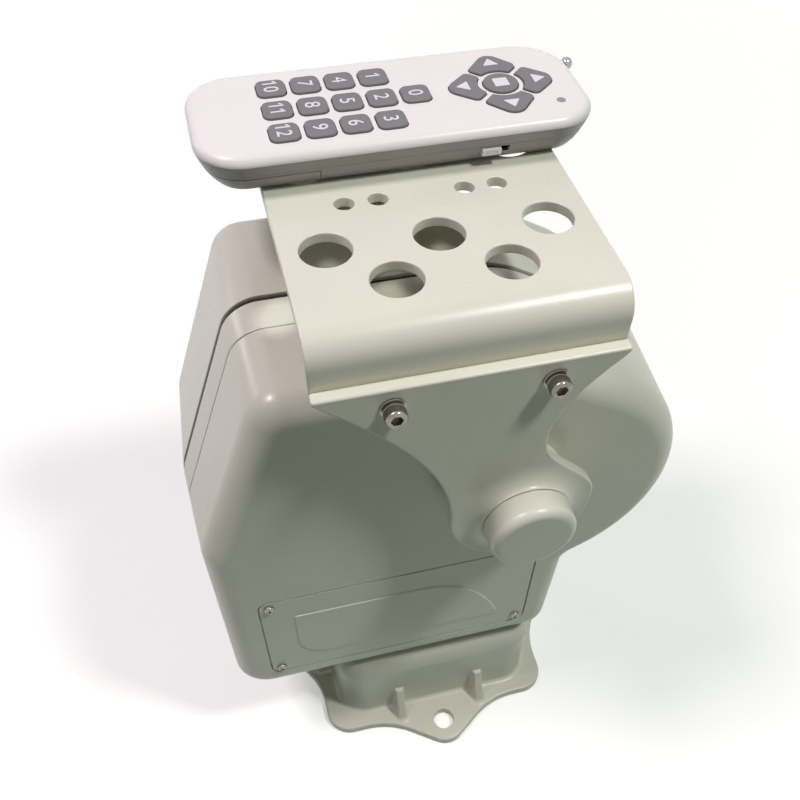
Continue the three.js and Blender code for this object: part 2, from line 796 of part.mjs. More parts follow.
// The worm lies along X. Its thread passes the wheel's side half a pitch from the middle tooth.
// One helical skin wraps round the axis, each turn meeting the next thread, and is cut to length.
function worm({ pitch, halfLength, earInside }) {
  const halfWidth = pitch * toothHalfWidthShare;
  const tipRadius = wormPitchRadius + gearModule * addendumShare;
  const rootRadius = wormPitchRadius - gearModule * dedendumShare;
  const tipReach = halfWidth - (tipRadius - wormPitchRadius) * pressureSlopeShare;
  const rootReach = halfWidth + (wormPitchRadius - rootRadius) * pressureSlopeShare;
  const profile = [
    [rootRadius, -rootReach],
    [tipRadius, -tipReach],
    [tipRadius, tipReach],
    [rootRadius, rootReach],
  ];
  const steps = boltSides;
  const threads = wormTurns + 2;
  const rowLength = threads * profile.length;
  const positions = [];
  for (let step = 0; step < steps; step += 1) {
    const angle = Math.PI + (step / steps) * (2 * Math.PI);
    for (let i = 0; i < rowLength; i += 1) {
      const [radius, reach] = profile[i % profile.length];
      const thread = Math.floor(i / profile.length) - Math.floor(threads / 2) + step / steps;
      positions.push((thread + 0.5) * pitch + reach, radius * Math.cos(angle), radius * Math.sin(angle));
    }
  }
  const lowPole = steps * rowLength;
  const highPole = lowPole + 1;
  positions.push(-threads * pitch, 0, 0, threads * pitch, 0, 0);
  const at = (step, i) => (step < steps ? step * rowLength + i : i + profile.length);
  const index = [];
  for (let step = 0; step < steps; step += 1) {
    const last = rowLength - 1 - (step === steps - 1 ? profile.length : 0);
    for (let i = 0; i < last; i += 1) {
      index.push(at(step, i), at(step, i + 1), at(step + 1, i + 1));
      index.push(at(step, i), at(step + 1, i + 1), at(step + 1, i));
    }
    index.push(lowPole, at(step, 0), at(step + 1, 0));
    if (step < steps - 1) {
      index.push(highPole, at(step + 1, last), at(step, last));
    }
  }
  const rowEnd = rowLength - 1;
  const turnEnd = rowEnd - profile.length;
  for (let i = 0; i < profile.length; i += 1) {
    index.push(lowPole, at(0, i + 1), at(0, i));
    index.push(at(steps - 1, turnEnd + i), at(steps - 1, turnEnd + i + 1), highPole);
  }
  index.push(at(steps - 1, turnEnd), highPole, at(0, rowEnd));
  const rod = new THREE.BufferGeometry();
  rod.setAttribute('position', new THREE.Float32BufferAttribute(positions, 3));
  rod.setIndex(index);
  const journalEnd = earInside + earThickness;
  const threaded = common(rod, alongX(block(2 * tipRadius, 2 * tipRadius, -halfLength, halfLength)));
  return join(threaded, alongX(disc(wormJournalRadius, -journalEnd, journalEnd, boltSides)));
}

// A channel with two ears for the worm's journals, its foot at footReach below the worm's axis.
// nearReach is how far it may come towards the wheel's shaft, on its -Y side.
function gearBracket({ earInside }, footReach, nearReach) {
  const earOutside = earInside + earThickness;
  const depth = nearReach + bracketReach;
  const middle = (bracketReach - nearReach) / 2;
  const hole = wormJournalRadius + seatGap;
  const ears = [-1, 1].map((side) => block(
    earThickness,
    depth,
    -footReach,
    bracketReach,
    side * (earInside + earThickness / 2),
    middle,
  ));
  const foot = block(2 * earOutside, depth, -footReach, bracketPlate - footReach, 0, middle);
  return cut(join(foot, ...ears), alongX(disc(hole, -2 * earOutside, 2 * earOutside, boltSides)));
}

// The motor's face points along +X.
function motor() {
  return alongX(turned([
    [0, -motorLength - motorCapLength],
    [motorCapRadius, -motorLength - motorCapLength],
    [motorCapRadius, -motorLength],
    [motorRadius, -motorLength],
    [motorRadius, -motorCapLength],
    [motorPilotRadius, -motorCapLength],
    [motorPilotRadius, 0],
    [0, 0],
  ], holeSides));
}

// Cradle: everything that tilts, drawn about the tilt axis

function pointOnArc(centre, radius, angle) {
  return new THREE.Vector2(centre.x + radius * Math.cos(angle), centre.y + radius * Math.sin(angle));
}

// The arm's outline in X and Z, from the tilt axis: a wide bar that sweeps in to a round lobe.
function armOutline() {
  const left = armCentreX - platformWidth / 2;
  const right = armCentreX + platformWidth / 2;
  const corners = armHeight - armEndHeight;
  const waistCentre = new THREE.Vector2(armWaistX + armWaistRadius, armWaistZ);
  const waistEnd = Math.PI + armWaistTurn;
  const lobeTouch = pointOnArc(new THREE.Vector2(), armLobeRadius, armLobeTurn);
  const waistTouch = pointOnArc(waistCentre, armWaistRadius, waistEnd);
  const path = new THREE.Path();
  path.moveTo(-armLobeRadius, 0);
  path.absarc(0, 0, armLobeRadius, Math.PI, 2 * Math.PI + armLobeTurn, false);
  path.bezierCurveTo(
    lobeTouch.x - armLobeLead * Math.sin(armLobeTurn),
    lobeTouch.y + armLobeLead * Math.cos(armLobeTurn),
    waistTouch.x + armWaistLead * Math.sin(armWaistTurn),
    waistTouch.y - armWaistLead * Math.cos(armWaistTurn),
    waistTouch.x,
    waistTouch.y,
  );
  path.absarc(waistCentre.x, waistCentre.y, armWaistRadius, waistEnd, Math.PI, true);
  const flareZ = THREE.MathUtils.lerp(armWaistZ, corners, armFlareShare);
  path.quadraticCurveTo(armWaistX, flareZ, right, corners);
  path.lineTo(right, armHeight);
  path.lineTo(left, armHeight);
  path.lineTo(left, corners);
  path.quadraticCurveTo(-armLobeRadius, corners * armSweepShare, -armLobeRadius, 0);
  const points = path.getPoints(9);
  return points.filter((point, i) => i === 0 || point.distanceTo(points[i - 1]) > seatGap)
    .filter((point, i, all) => i < all.length - 1 || point.distanceTo(all[0]) > seatGap);
}

const armScrewPlaces = [-1, 1].map((side) => ({
  x: armCentreX + side * (armScrewSpacing / 2),
  z: platformRise - armScrewDrop,
}));

// The arm is drawn with its outer face up, at the level that it has from the body's middle plane.
function arm() {
  const bar = prism(armOutline(), armInside, armOutside);
  const flareRadius = armBossRadius + armBossFlare;
  const flare = Array.from({ length: 4 }, (_, k) => {
    const angle = (k / 3) * (Math.PI / 2);
    return [flareRadius - armBossFlare * Math.sin(angle), armOutside + armBossRise * (1 - Math.cos(angle))];
  });
  const boss = common(turned([
    [0, armInside + armThickness / 2],
    [flareRadius, armInside + armThickness / 2],
    ...flare,
    [0, armOutside + armBossRise],
  ]), prism(armOutline(), armInside, armOutside + 2 * armBossRise));
  const spigot = disc(armSpigotRadius, bodyHalfDepth + bodySpigotRise + runningGap / 2, armInside + armThickness / 2);
  const bore = disc(tiltShaftRadius + seatGap, 0, armOutside + 2 * armBossRise, holeSides);
  const holes = armScrewPlaces.map(({ x, z }) =>
    disc(armScrewRadius + screwClearance, armInside - cutOverrun, armOutside + cutOverrun, boltSides, x, z));
  return cut(join(bar, boss, spigot), bore, ...holes);
}

const capFoot = armOutside + armBossRise + seatGap;
const shaftEnd = capFoot + hubCapLength / 2;

function hubCap() {
  const top = capFoot + hubCapLength;
  const edge = roundOver(hubCapEdge, 3).map(({ inset, fall }) => [hubCapRadius - inset, top - fall]);
  return turned([
    [hubCapRadius - hubCapWall, capFoot],
    [hubCapRadius, capFoot],
    ...edge,
    [0, top],
    [0, top - hubCapWall],
    [hubCapRadius - hubCapEdge, top - hubCapWall],
    [hubCapRadius - hubCapWall, top - hubCapEdge],
    [hubCapRadius - hubCapWall, capFoot],
  ]);
}

function tiltShaft() {
  const threadRadius = tiltShaftRadius - runningGap;
  return turned([
    [0, -shaftEnd],
    [threadRadius, -shaftEnd],
    [threadRadius, -armOutside],
    [tiltShaftRadius, -armOutside],
    [tiltShaftRadius, armOutside],
    [threadRadius, armOutside],
    [threadRadius, shaftEnd],
    [0, shaftEnd],
  ], holeSides);
}

// Bent sheet: the section in Y and Z runs down one leg, over the top and down the other. The
// legs' lower corners are cut off so that they stay behind the arms.
function platform() {
  const legEnd = platformRise - legLength;
  const bend = sheetBendRadius;
  const innerBend = sheetBendRadius - sheetThickness;
  const outer = [
    corner(-legOutside, legEnd),
    corner(-legOutside + sheetThickness, legEnd),
    corner(-legInside, platformRise - sheetThickness, innerBend, 3),
    corner(legInside, platformRise - sheetThickness, innerBend, 3),
    corner(legOutside - sheetThickness, legEnd),
    corner(legOutside, legEnd),
    corner(legOutside, platformRise, bend, 5),
    corner(-legOutside, platformRise, bend, 5),
  ];
  const half = platformWidth / 2;
  const section = prism(roundedOutline(outer), armCentreX - half, armCentreX + half);
  const bent = closed(section.rotateX(Math.PI / 2).rotateZ(Math.PI / 2));
  const face = [
    corner(armCentreX - half, legEnd + legTaperHeight),
    corner(armCentreX - half + legTaperWidth, legEnd),
    corner(armCentreX + half - legTaperWidth, legEnd),
    corner(armCentreX + half, legEnd + legTaperHeight),
    corner(armCentreX + half, platformRise),
    corner(armCentreX - half, platformRise),
  ];
  const sheet = common(bent, alongY(prism(roundedOutline(face), -2 * legOutside, 2 * legOutside)));
  const tools = platformHolePlaces.map(({ x, y, radius, segments }) => disc(
    radius,
    platformRise - sheetThickness - cutOverrun,
    platformRise + cutOverrun,
    segments,
    armCentreX + x,
    y,
  ));
  const screwHoles = armScrewPlaces.map(({ x, z }) =>
    alongY(disc(armScrewRadius + screwClearance, -2 * legOutside, 2 * legOutside, boltSides, x, z)));
  return cut(sheet, ...tools, ...screwHoles);
}

const largeHoles = (y, steps) => steps.map((step) => (
  { x: step * largeHolePitch, y, radius: largeHoleRadius, segments: holeSides }));

const platformHolePlaces = [-1, 1].flatMap((side) => [
  ...largeHoles(side * innerRowReach, [-1, 0, 1]),
  ...largeHoles(side * outerRowReach, [-0.5, 0.5]),
  ...smallHoleReaches.map((reach) => (
    { x: side * reach, y: 0, radius: smallHoleRadius, segments: pinSides })),
]);

// Socket cap screw with a flat washer and a spring washer under its head, drawn head up.
function armScrew() {
  const springFoot = armWasherThickness;
  const headFoot = springFoot + springWasherThickness;
  const headTop = headFoot + armScrewHeadHeight;
  const tip = -(armThickness + sheetThickness + seatGap + armScrewEnd);
  const body = turned([
    [0, tip],
    [armScrewRadius, tip],
    [armScrewRadius, 0],
    [armWasherRadius, 0],
    [armWasherRadius, springFoot],
    [springWasherRadius, springFoot],
    [springWasherRadius, headFoot],
    [armScrewHeadRadius, headFoot],
    [armScrewHeadRadius, headTop],
    [0, headTop],
  ], boltSides);
  return cut(body, disc(socketRadius, headTop - socketDepth, headTop + cutOverrun, socketSides));
}

// Handset, drawn with its underside at level 0, its length along X and its nose at +X

function handsetSection(level, inset) {
  const halfLength = handsetLength / 2;
  const halfWidth = handsetWidth / 2;
  const corners = [
    corner(-halfLength, -halfWidth, handsetTailRadius, 3),
    corner(halfLength, -halfWidth, handsetNoseRadius, 3),
    corner(halfLength, halfWidth, handsetNoseRadius, 3),
    corner(-halfLength, halfWidth, handsetTailRadius, 3),
  ];
  return { points: roundedOutline(corners, inset), level };
}

// How far the side draws in at each height, as shares of the handset's height.
const handsetSideShares = [
  [0, 0.45],
  [0.1, 0.275],
  [0.28, 0.13],
  [0.5, 0.035],
  [0.68, 0],
  [0.8, 0.035],
  [0.91, 0.13],
  [0.975, 0.26],
  [1, 0.4],
];

function handsetSide(level) {
  const shares = handsetSideShares;
  const share = THREE.MathUtils.clamp(level / handsetHeight, 0, 1);
  const row = Math.max(shares.findIndex(([upper]) => upper >= share), 1);
  const [lowShare, lowInset] = shares[row - 1];
  const [highShare, highInset] = shares[row];
  const blend = (share - lowShare) / (highShare - lowShare);
  return THREE.MathUtils.lerp(lowInset, highInset, blend) * handsetHeight;
}

function handsetForm(bottom, top, wall) {
  const inner = handsetSideShares.map(([share]) => share * handsetHeight)
    .filter((level) => level > bottom + seatGap && level < top - seatGap);
  return loft([bottom, ...inner, top].map((level) => handsetSection(level, handsetSide(level) + wall)));
}

// The room inside the lower shell and the battery door, from the floor's wall up.
function handsetRoom(top) {
  const levels = handsetSideShares.map(([share]) => share * handsetHeight)
    .filter((level) => level > handsetWall + seatGap && level < top - seatGap);
  return loft([handsetWall, ...levels, top].map((level) =>
    handsetSection(level, Math.max(handsetSide(level) + handsetWall, handsetRim))));
}

const numberKeys = [
  ...[[10, 7, 4, 1], [11, 8, 5, 2], [12, 9, 6, 3]].flatMap((row, line) =>
    row.map((digit, column) => ({ name: `key_${digit}`, column, line }))),
  { name: 'key_0', column: 4, line: 1 },
].map(({ name, column, line }) => ({
  name,
  x: keypadStartX + column * keyPitchX,
  y: (1 - line) * keyPitchY,
}));

const navKeys = [
  { name: 'key_up', turn: 0 },
  { name: 'key_left', turn: 1 },
  { name: 'key_down', turn: 2 },
  { name: 'key_right', turn: 3 },
];

function numberKeyOutline(grow) {
  return roundedOutline(boxCorners(keyWidth, keyHeight, keyCornerRadius, 2), -grow);
}

const navFootShares = [1, 0.5, 0, -0.5, -1];

// One of four shields round the stop key: a quarter of a diamond with a round bite.
function navKeyOutline(grow) {
  const bite = stopKeyRadius + navGap;
  const side = navReach / 2 - navGap / Math.SQRT2;
  const lean = Math.PI / 4 - navGap / (2 * bite);
  const foot = navFootShares.map((share) => {
    const angle = Math.PI / 2 + share * lean;
    return corner(bite * Math.cos(angle), bite * Math.sin(angle));
  });
  const corners = [
    corner(side, navReach / 2, navCornerRadius, 2),
    corner(0, navReach, navNoseRadius, 2),
    corner(-side, navReach / 2, navCornerRadius, 2),
    ...foot,
  ];
  return roundedOutline(corners, -grow);
}

function stopKeyOutline(grow) {
  return Array.from({ length: holeSides }, (_, k) => {
    const angle = (k / holeSides) * (2 * Math.PI);
    const radius = stopKeyRadius + grow;
    return new THREE.Vector2(radius * Math.cos(angle), radius * Math.sin(angle));
  });
}

function keyCap(outline) {
  return loft([
    { points: outline(0), level: handsetHeight + keyRise - keyDepth - keyBevel },
    { points: outline(0), level: handsetHeight + keyRise - keyBevel },
    { points: outline(-keyBevel), level: handsetHeight + keyRise },
  ]);
}

function keyHole(outline) {
  return prism(outline(keyGap), handsetHeight / 2 + handsetWall, handsetHeight + cutOverrun);
}

function handsetUpperShell() {
  const foot = handsetPartingZ + seatGap / 2;
  const outer = handsetForm(foot, handsetHeight, 0);
  const inner = handsetForm(foot - cutOverrun, handsetHeight - handsetWall, handsetWall);
  const holes = numberKeys.map(({ x, y }) => keyHole(numberKeyOutline).translate(x, y, 0));
  navKeys.forEach(({ turn }) => holes.push(
    keyHole(navKeyOutline).rotateZ(turn * (Math.PI / 2)).translate(navX, 0, 0),
  ));
  holes.push(keyHole(stopKeyOutline).translate(navX, 0, 0));
  holes.push(disc(ledRadius + seatGap, handsetHeight / 2, handsetHeight + cutOverrun, boltSides, ledX, ledY));
  const antennaBore = alongX(disc(antennaRadius + seatGap, 0, handsetLength, boltSides))
    .translate(antennaStartX - seatGap, antennaY, antennaZ);
  return cut(outer, inner, antennaBore, ...holes);
}

function doorBlock(gap) {
  const length = handsetLength;
  return block(length, 2 * handsetWidth, -cutOverrun, doorHeight + gap, doorEndX + gap - length / 2, 0);
}

function handsetLowerShell() {
  const top = handsetPartingZ - seatGap / 2;
  const outer = handsetForm(0, top, 0);
  const inner = handsetRoom(top + cutOverrun);
  const slot = new THREE.BoxGeometry(
    switchLength + switchTravel + 2 * seatGap,
    2 * handsetRim + cutOverrun,
    switchHeight + 2 * seatGap,
  ).translate(switchX + switchTravel / 2, -handsetWidth / 2, switchZ);
  return cut(outer, inner, slot, doorBlock(doorGap));
}

function batteryDoor() {
  const outer = handsetForm(0, doorHeight + handsetWall, 0);
  return common(cut(outer, handsetRoom(doorHeight + cutOverrun)), doorBlock(0));
}

function handsetBoard() {
  const foot = handsetPartingZ + seatGap / 2;
  const inset = handsetSide(foot) + handsetWall + 2 * seatGap;
  return loft([foot, foot + handsetBoardThickness].map((level) => handsetSection(level, inset)));
}

// Stands on the handset's board and shows in the top shell.
function statusLed() {
  const foot = handsetPartingZ + handsetBoardThickness + 2 * seatGap;
  return turned([
    [0, foot],
    [ledRadius, foot],
    [ledRadius, handsetHeight],
    [ledRadius / 2, handsetHeight + seatGap],
    [0, handsetHeight + seatGap],
  ], boltSides);
}

function sideSwitch() {
  const face = handsetSide(switchZ) - handsetWidth / 2 - switchProud;
  const depth = handsetRim + switchProud;
  return new THREE.BoxGeometry(switchLength, depth, switchHeight)
    .translate(switchX, face + depth / 2, switchZ);
}

function antenna() {
  const tipEnd = handsetLength / 2 + antennaTipProud;
  const tipFoot = tipEnd - 2 * antennaTipRadius;
  return alongX(turned([
    [0, antennaStartX],
    [antennaRadius, antennaStartX],
    [antennaRadius, tipFoot - 2 * antennaTipRadius],
    [antennaNeckRadius, tipFoot - 2 * antennaTipRadius],
    [antennaNeckRadius, tipFoot],
    [antennaTipRadius, tipFoot + antennaTipRadius / 2],
    [antennaTipRadius, tipEnd - antennaTipRadius / 2],
    [antennaTipRadius / 2, tipEnd],
    [0, tipEnd],
  ], boltSides)).translate(0, antennaY, antennaZ);
}

// Assembly

function baseGroup() {
  const wheelLevel = bodyBottom + panWheelRise;
  const wheel = piece('pan_worm_wheel', wormWheel(panDrive, panShaftRadius), bronze);
  wheel.position.z = wheelLevel;
  return group(0, 0, 0,
    piece('base_casting', baseCasting(), powderCoat),
    piece('pan_shaft', panShaft(), groundSteel),
    wheel);
}

function panDriveGroup() {
  const wheelLevel = bodyBottom + panWheelRise;
  const footReach = wheelLevel - bodyBottom - shellWall * 2;
  const nearReach = panDrive.centreDistance - turntableHubRadius - runningGap;
  const driver = piece('pan_motor', motor(), motorPaint);
  driver.position.x = -(panDrive.earInside + earThickness + seatGap);
  return group(0, panDrive.centreDistance, wheelLevel,
    piece('pan_worm', worm(panDrive), groundSteel),
    piece('pan_gear_bracket', gearBracket(panDrive, footReach, nearReach), motorPaint),
    driver);
}

// Rests on the rear shell's inner face. Turned so that the worm lies below the tilt wheel.
function tiltDriveGroup() {
  const footReach = bearingSeat - seatGap - tiltWheelDepth;
  const threads = piece('tilt_worm', worm(tiltDrive), groundSteel);
  threads.rotation.x = -Math.PI / 2;
  const bracket = piece('tilt_gear_bracket', gearBracket(tiltDrive, footReach, bracketReach), motorPaint);
  bracket.rotation.x = Math.PI / 2;
  const driver = piece('tilt_motor', motor(), motorPaint);
  driver.position.x = -(tiltDrive.earInside + earThickness + seatGap);
  return group(tiltAxisX, tiltWheelDepth, tiltAxisZ - tiltDrive.centreDistance,
    threads,
    bracket,
    driver);
}

function turretGroup() {
  const screws = plateScrewPlaces.map(({ x, z }, i) => {
    const screw = piece(`access_screw_${i + 1}`, accessScrew(), stainless);
    screw.rotation.x = Math.PI / 2;
    screw.position.set(x, seatGap / 2 - bodyHalfDepth - seatGap, z);
    return screw;
  });
  const plate = piece('access_plate', alongY(accessPlate()), powderCoat);
  plate.position.y = plateThickness - bodyHalfDepth;
  const bearings = [['tilt_bearing_front', -1], ['tilt_bearing_rear', 1]].map(([name, side]) => {
    const middle = side * (bearingSeat - tiltBearingWidth / 2 - seatGap);
    const bearing = ring(tiltShaftRadius + seatGap, tiltBearingRadius, -tiltBearingWidth / 2, tiltBearingWidth / 2);
    const mesh = piece(name, bearing, groundSteel);
    mesh.rotation.x = Math.PI / 2;
    mesh.position.set(tiltAxisX, middle, tiltAxisZ);
    return mesh;
  });
  const board = piece('control_board', controlBoard(), boardGreen);
  board.rotation.x = -Math.PI / 2;
  board.position.set(boardCentreX, boardStandOff - bearingSeat + seatGap, boardCentreZ);
  const panBearing = ring(
    panShaftRadius + seatGap,
    panBearingRadius,
    panBearingFoot,
    panBearingFoot + panBearingWidth,
  );
  return group(0, 0, 0,
    piece('turntable', turntable(), groundSteel),
    piece('pan_bearing', panBearing, groundSteel),
    piece('rear_shell', rearShell(), powderCoat),
    piece('centre_frame', centreFrame(), powderCoat),
    piece('body_gasket', bodyGasket(), darkRubber),
    piece('front_shell', frontShell(), powderCoat),
    plate,
    board,
    ...screws,
    ...bearings,
    panDriveGroup(),
    tiltDriveGroup());
}

function keyPieces() {
  const digits = numberKeys.map(({ name, x, y }) => {
    const key = piece(name, keyCap(numberKeyOutline), keyGrey);
    key.position.set(x, y, 0);
    return key;
  });
  const arrows = navKeys.map(({ name, turn }) => {
    const key = piece(name, keyCap(navKeyOutline), keyGrey);
    key.rotation.z = turn * (Math.PI / 2);
    key.position.x = navX;
    return key;
  });
  const stop = piece('key_stop', keyCap(stopKeyOutline), keyGrey);
  stop.position.x = navX;
  return [...digits, ...arrows, stop];
}

function handsetGroup() {
  const led = piece('status_led', statusLed(), lens);
  led.position.set(ledX, ledY, 0);
  return group(handsetX - tiltAxisX, handsetY, platformRise + seatGap,
    piece('handset_upper_shell', handsetUpperShell(), handsetWhite),
    piece('handset_lower_shell', handsetLowerShell(), handsetWhite),
    piece('battery_door', batteryDoor(), handsetWhite),
    piece('handset_board', handsetBoard(), boardGreen),
    piece('side_switch', sideSwitch(), handsetWhite),
    piece('antenna', antenna(), chrome),
    led,
    ...keyPieces());
}

function cradleGroup() {
  const sides = [['front', Math.PI / 2, 0], ['rear', -Math.PI / 2, Math.PI]];
  const arms = sides.flatMap(([name, lean]) => {
    const front = lean > 0;
    const casting = alongY(arm());
    const armMesh = piece(`arm_${name}`, front ? casting : casting.scale(1, -1, 1), powderCoat);
    const cap = piece(`hub_cap_${name}`, hubCap(), powderCoat);
    cap.rotation.x = lean;
    const screws = armScrewPlaces.map(({ x, z }, i) => {
      const screw = piece(`arm_screw_${name}_${i + 1}`, armScrew(), stainless);
      screw.rotation.x = lean;
      screw.position.set(x, (front ? -1 : 1) * (armOutside + seatGap / 2), z);
      return screw;
    });
    return [armMesh, cap, ...screws];
  });
  const shaft = piece('tilt_shaft', tiltShaft(), groundSteel);
  shaft.rotation.x = Math.PI / 2;
  const wheel = piece('tilt_worm_wheel', wormWheel(tiltDrive, tiltShaftRadius), bronze);
  wheel.rotation.x = -Math.PI / 2;
  wheel.position.y = tiltWheelDepth;
  return group(tiltAxisX, 0, tiltAxisZ,
    piece('platform', platform(), powderCoat),
    shaft,
    wheel,
    ...arms,
    handsetGroup());
}

const panTiltHead = new THREE.Group();
panTiltHead.add(baseGroup(), turretGroup(), cradleGroup());

export default panTiltHead;
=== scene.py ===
import math

import bmesh
import bpy
from mathutils import Euler, Matrix, Vector

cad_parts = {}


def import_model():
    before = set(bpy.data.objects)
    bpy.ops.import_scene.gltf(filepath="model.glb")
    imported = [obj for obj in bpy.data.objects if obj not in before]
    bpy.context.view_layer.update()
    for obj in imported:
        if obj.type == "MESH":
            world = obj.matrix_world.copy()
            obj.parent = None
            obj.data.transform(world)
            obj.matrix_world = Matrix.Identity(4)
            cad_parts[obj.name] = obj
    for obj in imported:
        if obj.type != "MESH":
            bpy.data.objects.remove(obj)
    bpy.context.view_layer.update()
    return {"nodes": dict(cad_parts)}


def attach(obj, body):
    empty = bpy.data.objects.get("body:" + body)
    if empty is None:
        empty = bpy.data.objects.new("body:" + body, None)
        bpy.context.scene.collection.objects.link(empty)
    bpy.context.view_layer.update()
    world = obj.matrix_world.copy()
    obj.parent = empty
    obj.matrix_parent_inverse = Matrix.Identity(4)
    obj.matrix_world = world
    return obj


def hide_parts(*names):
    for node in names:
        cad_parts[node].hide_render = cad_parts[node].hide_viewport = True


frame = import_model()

# Sizes in millimetres, as in the part's source. Meshes are made in metres.
# A level is a height, or the depth from the middle plane for what faces the front or the rear.
MM = 0.001
QUARTER = math.pi / 2
SEAT_GAP = 0.3

# Base casting
FLANGE_HALF, FLANGE_CORNER, FLANGE_TOP = 84.0, 17.0, 7.0
FLANGE_EDGE, FLANGE_FOOT_EDGE = 1.6, 0.6
EAR_ROOT, EAR_ROOT_RADIUS = 40.0, 55.0
EAR_NOSE, EAR_NOSE_RADIUS = 112.8, 15.0
EAR_HOLE_REACH, EAR_HOLE_RADIUS, EAR_HOLE_MOUTH = 92.4, 7.5, 0.8
PEDESTAL_WIDTH, PEDESTAL_CORNER = 144.0, 20.0
PEDESTAL_FOOT, PEDESTAL_TOP, PEDESTAL_SHOULDER = 4.0, 73.0, 15.0
PEDESTAL_ROOT, PEDESTAL_ROOT_TURNS = 3.5, (0, 0.3, 0.6, 0.9, 1.2, QUARTER)
HOLLOW_WALL = [(6.0, -5.0), (6.0, 58.0), (8.0, 63.0), (15.0, 67.0)]
PAN_BOSS_RADIUS, PAN_BORE_RADIUS, PAN_BORE_FLOOR = 30.0, 15.3, 20.0
WEB_SIZE, WEB_FOOT = (150.0, 6.0), 25.0
UNDER_BASE, OVER_BASE = -6.0, 80.0
RIB_OFFSET, RIB_TOP = 30.0, 34.0
RIB_SUNK, RIB_BURIED = 3.0, 2.0
RIB_REACH, RIB_CREST = 14.6, 2.6
RIB_HALF_FOOT, RIB_HALF_CREST = 3.3, 2.8
RIB_ROOT, RIB_EDGE, RIB_TIP_SHARE = 3.0, 1.0, 0.8

# Turntable
TABLE_RADIUS, TABLE_HUB_RADIUS, TABLE_POCKET, TABLE_BORE = 56.0, 34.0, 27.3, 16.5
TABLE_FOOT, TABLE_TOP, TABLE_POCKET_TOP, TABLE_HUB_TOP = 74.5, 77.7, 90.0, 94.0
TABLE_EDGE = 0.6

# Turret body
BODY_BOTTOM, BODY_TOP = 78.0, 353.0
BODY_LEFT, BODY_RIGHT_FOOT = -141.0, 81.0
BODY_FACE = 71.0  # depth of the flat faces
SHOULDER_INSET, SHOULDER_FOOT = 42.0, 241.0
LOWER_LEFT_RADIUS, LOWER_RIGHT_RADIUS, CROOK_RADIUS = 26.0, 20.0, 6.0
BROW_RADIUS, TOP_LEFT_RADIUS, SHOULDER_RADIUS = 60.0, 22.0, 40.0
WALL_LEAN, DRAFT = 0.035, 0.059
DOME_CENTRE, DOME_RADIUS = (49.0, 245.0), 86.9
DOME_LOW, DOME_HIGH = math.radians(-66), math.radians(60)
SHELL_FILLET, REAR_FILLET = 14.0, 7.0
SHELL_WALL = 4.0
FRAME_DEPTH, FRAME_EDGE, FRAME_BEVEL = 20.0, 0.6, 0.2
SEAM_LIP, SEAM_SHARE = 0.9, 0.3
GASKET_HALF, GASKET_RECESS, GASKET_WIDTH = 1.4, 1.6, 3.2
GASKET_BULGE, GASKET_CREST = 0.4, 0.3
TILT_X, TILT_Z = 29.0, 268.0
SPIGOT_RADIUS, SPIGOT_RISE, SPIGOT_EDGE = 28.0, 8.0, 0.8
SHAFT_BORE = 13.5
HUB_OPENING, HUB_OPENING_TOP = 34.3, 106.0

# Access plate and its screws, whose profile is (radius, level) from the plate's face
PLATE_CENTRE, PLATE_SIZE = (-29.0, 146.0), (172.0, 88.0)
PLATE_CORNER, PLATE_THICKNESS = 6.0, 2.4
PLATE_BACK_EDGE, PLATE_EDGE, PLATE_GAP, PLATE_MOUTH = 0.3, 0.5, 0.8, 0.35
PLATE_SCREW_INSET, PLATE_SCREW_HOLE = 6.0, 1.8
PANEL_CENTRE, PANEL_SIZE = (-28.5, 144.0), (134.0, 52.0)
PANEL_TIP, PANEL_HEEL = (56.0, 18.0), 24.0
PANEL_CORNER, PANEL_POINT, PANEL_NIP = 1.0, 0.6, 0.3
PANEL_RISE, PANEL_EDGE, PANEL_DRAFT = 0.8, 0.75, 0.25
PLATE_SCREW = [(0, -6), (1.2, -6), (1.5, -5.6), (1.5, 0), (3.0, 0), (3.2, 0.25), (3.15, 0.7), (2.9, 1.25),
               (2.4, 1.75), (1.6, 2.1), (0.8, 2.2), (0, 2.2)]
PLATE_SCREW_LIFT, PLATE_SCREW_TURN = 0.15, 0.5
CROSS_LENGTH, CROSS_WIDTH, CROSS_CORNER, CROSS_CUT = 3.4, 0.75, 0.2, (1.0, 4.0)

# Side arms and hub caps
ARM_INSIDE, ARM_OUTSIDE = 86.6, 92.8
ARM_LEFT, ARM_RIGHT = -103.0, 37.0
ARM_TOP, ARM_END, ARM_CORNER = 105.6, 102.6, 1.2
ARM_LOBE = 38.5
ARM_WAIST_EDGE, ARM_WAIST_LEVEL, ARM_WAIST_RADIUS = 6.0, 54.0, 25.0
ARM_WAIST_TURN, ARM_LOBE_TURN = math.radians(29), math.radians(8)
ARM_WAIST_LEAD, ARM_LOBE_LEAD = 15.0, 13.0
ARM_FLARE_LEVEL = 75.87
ARM_EDGE, ARM_BACK_EDGE = 1.3, 0.6
ARM_BORE, ARM_SCREW_HOLE = 12.3, 3.3
HUB_RADIUS, HUB_FOOT, HUB_TOP = 25.0, 79.75, 88.0
BOSS_RADIUS, BOSS_FOOT, BOSS_RISE, BOSS_FLARE, BOSS_EDGE = 23.5, 90.0, 5.6, 12.2, 0.2
BOSS_LIMIT = TILT_Z + 1.5 * ARM_LOBE
CAP_FOOT, CAP_LENGTH = 98.7, 15.2
CAP_RADIUS, CAP_WALL, CAP_EDGE, CAP_FOOT_EDGE = 23.1, 3.0, 5.0, 0.2

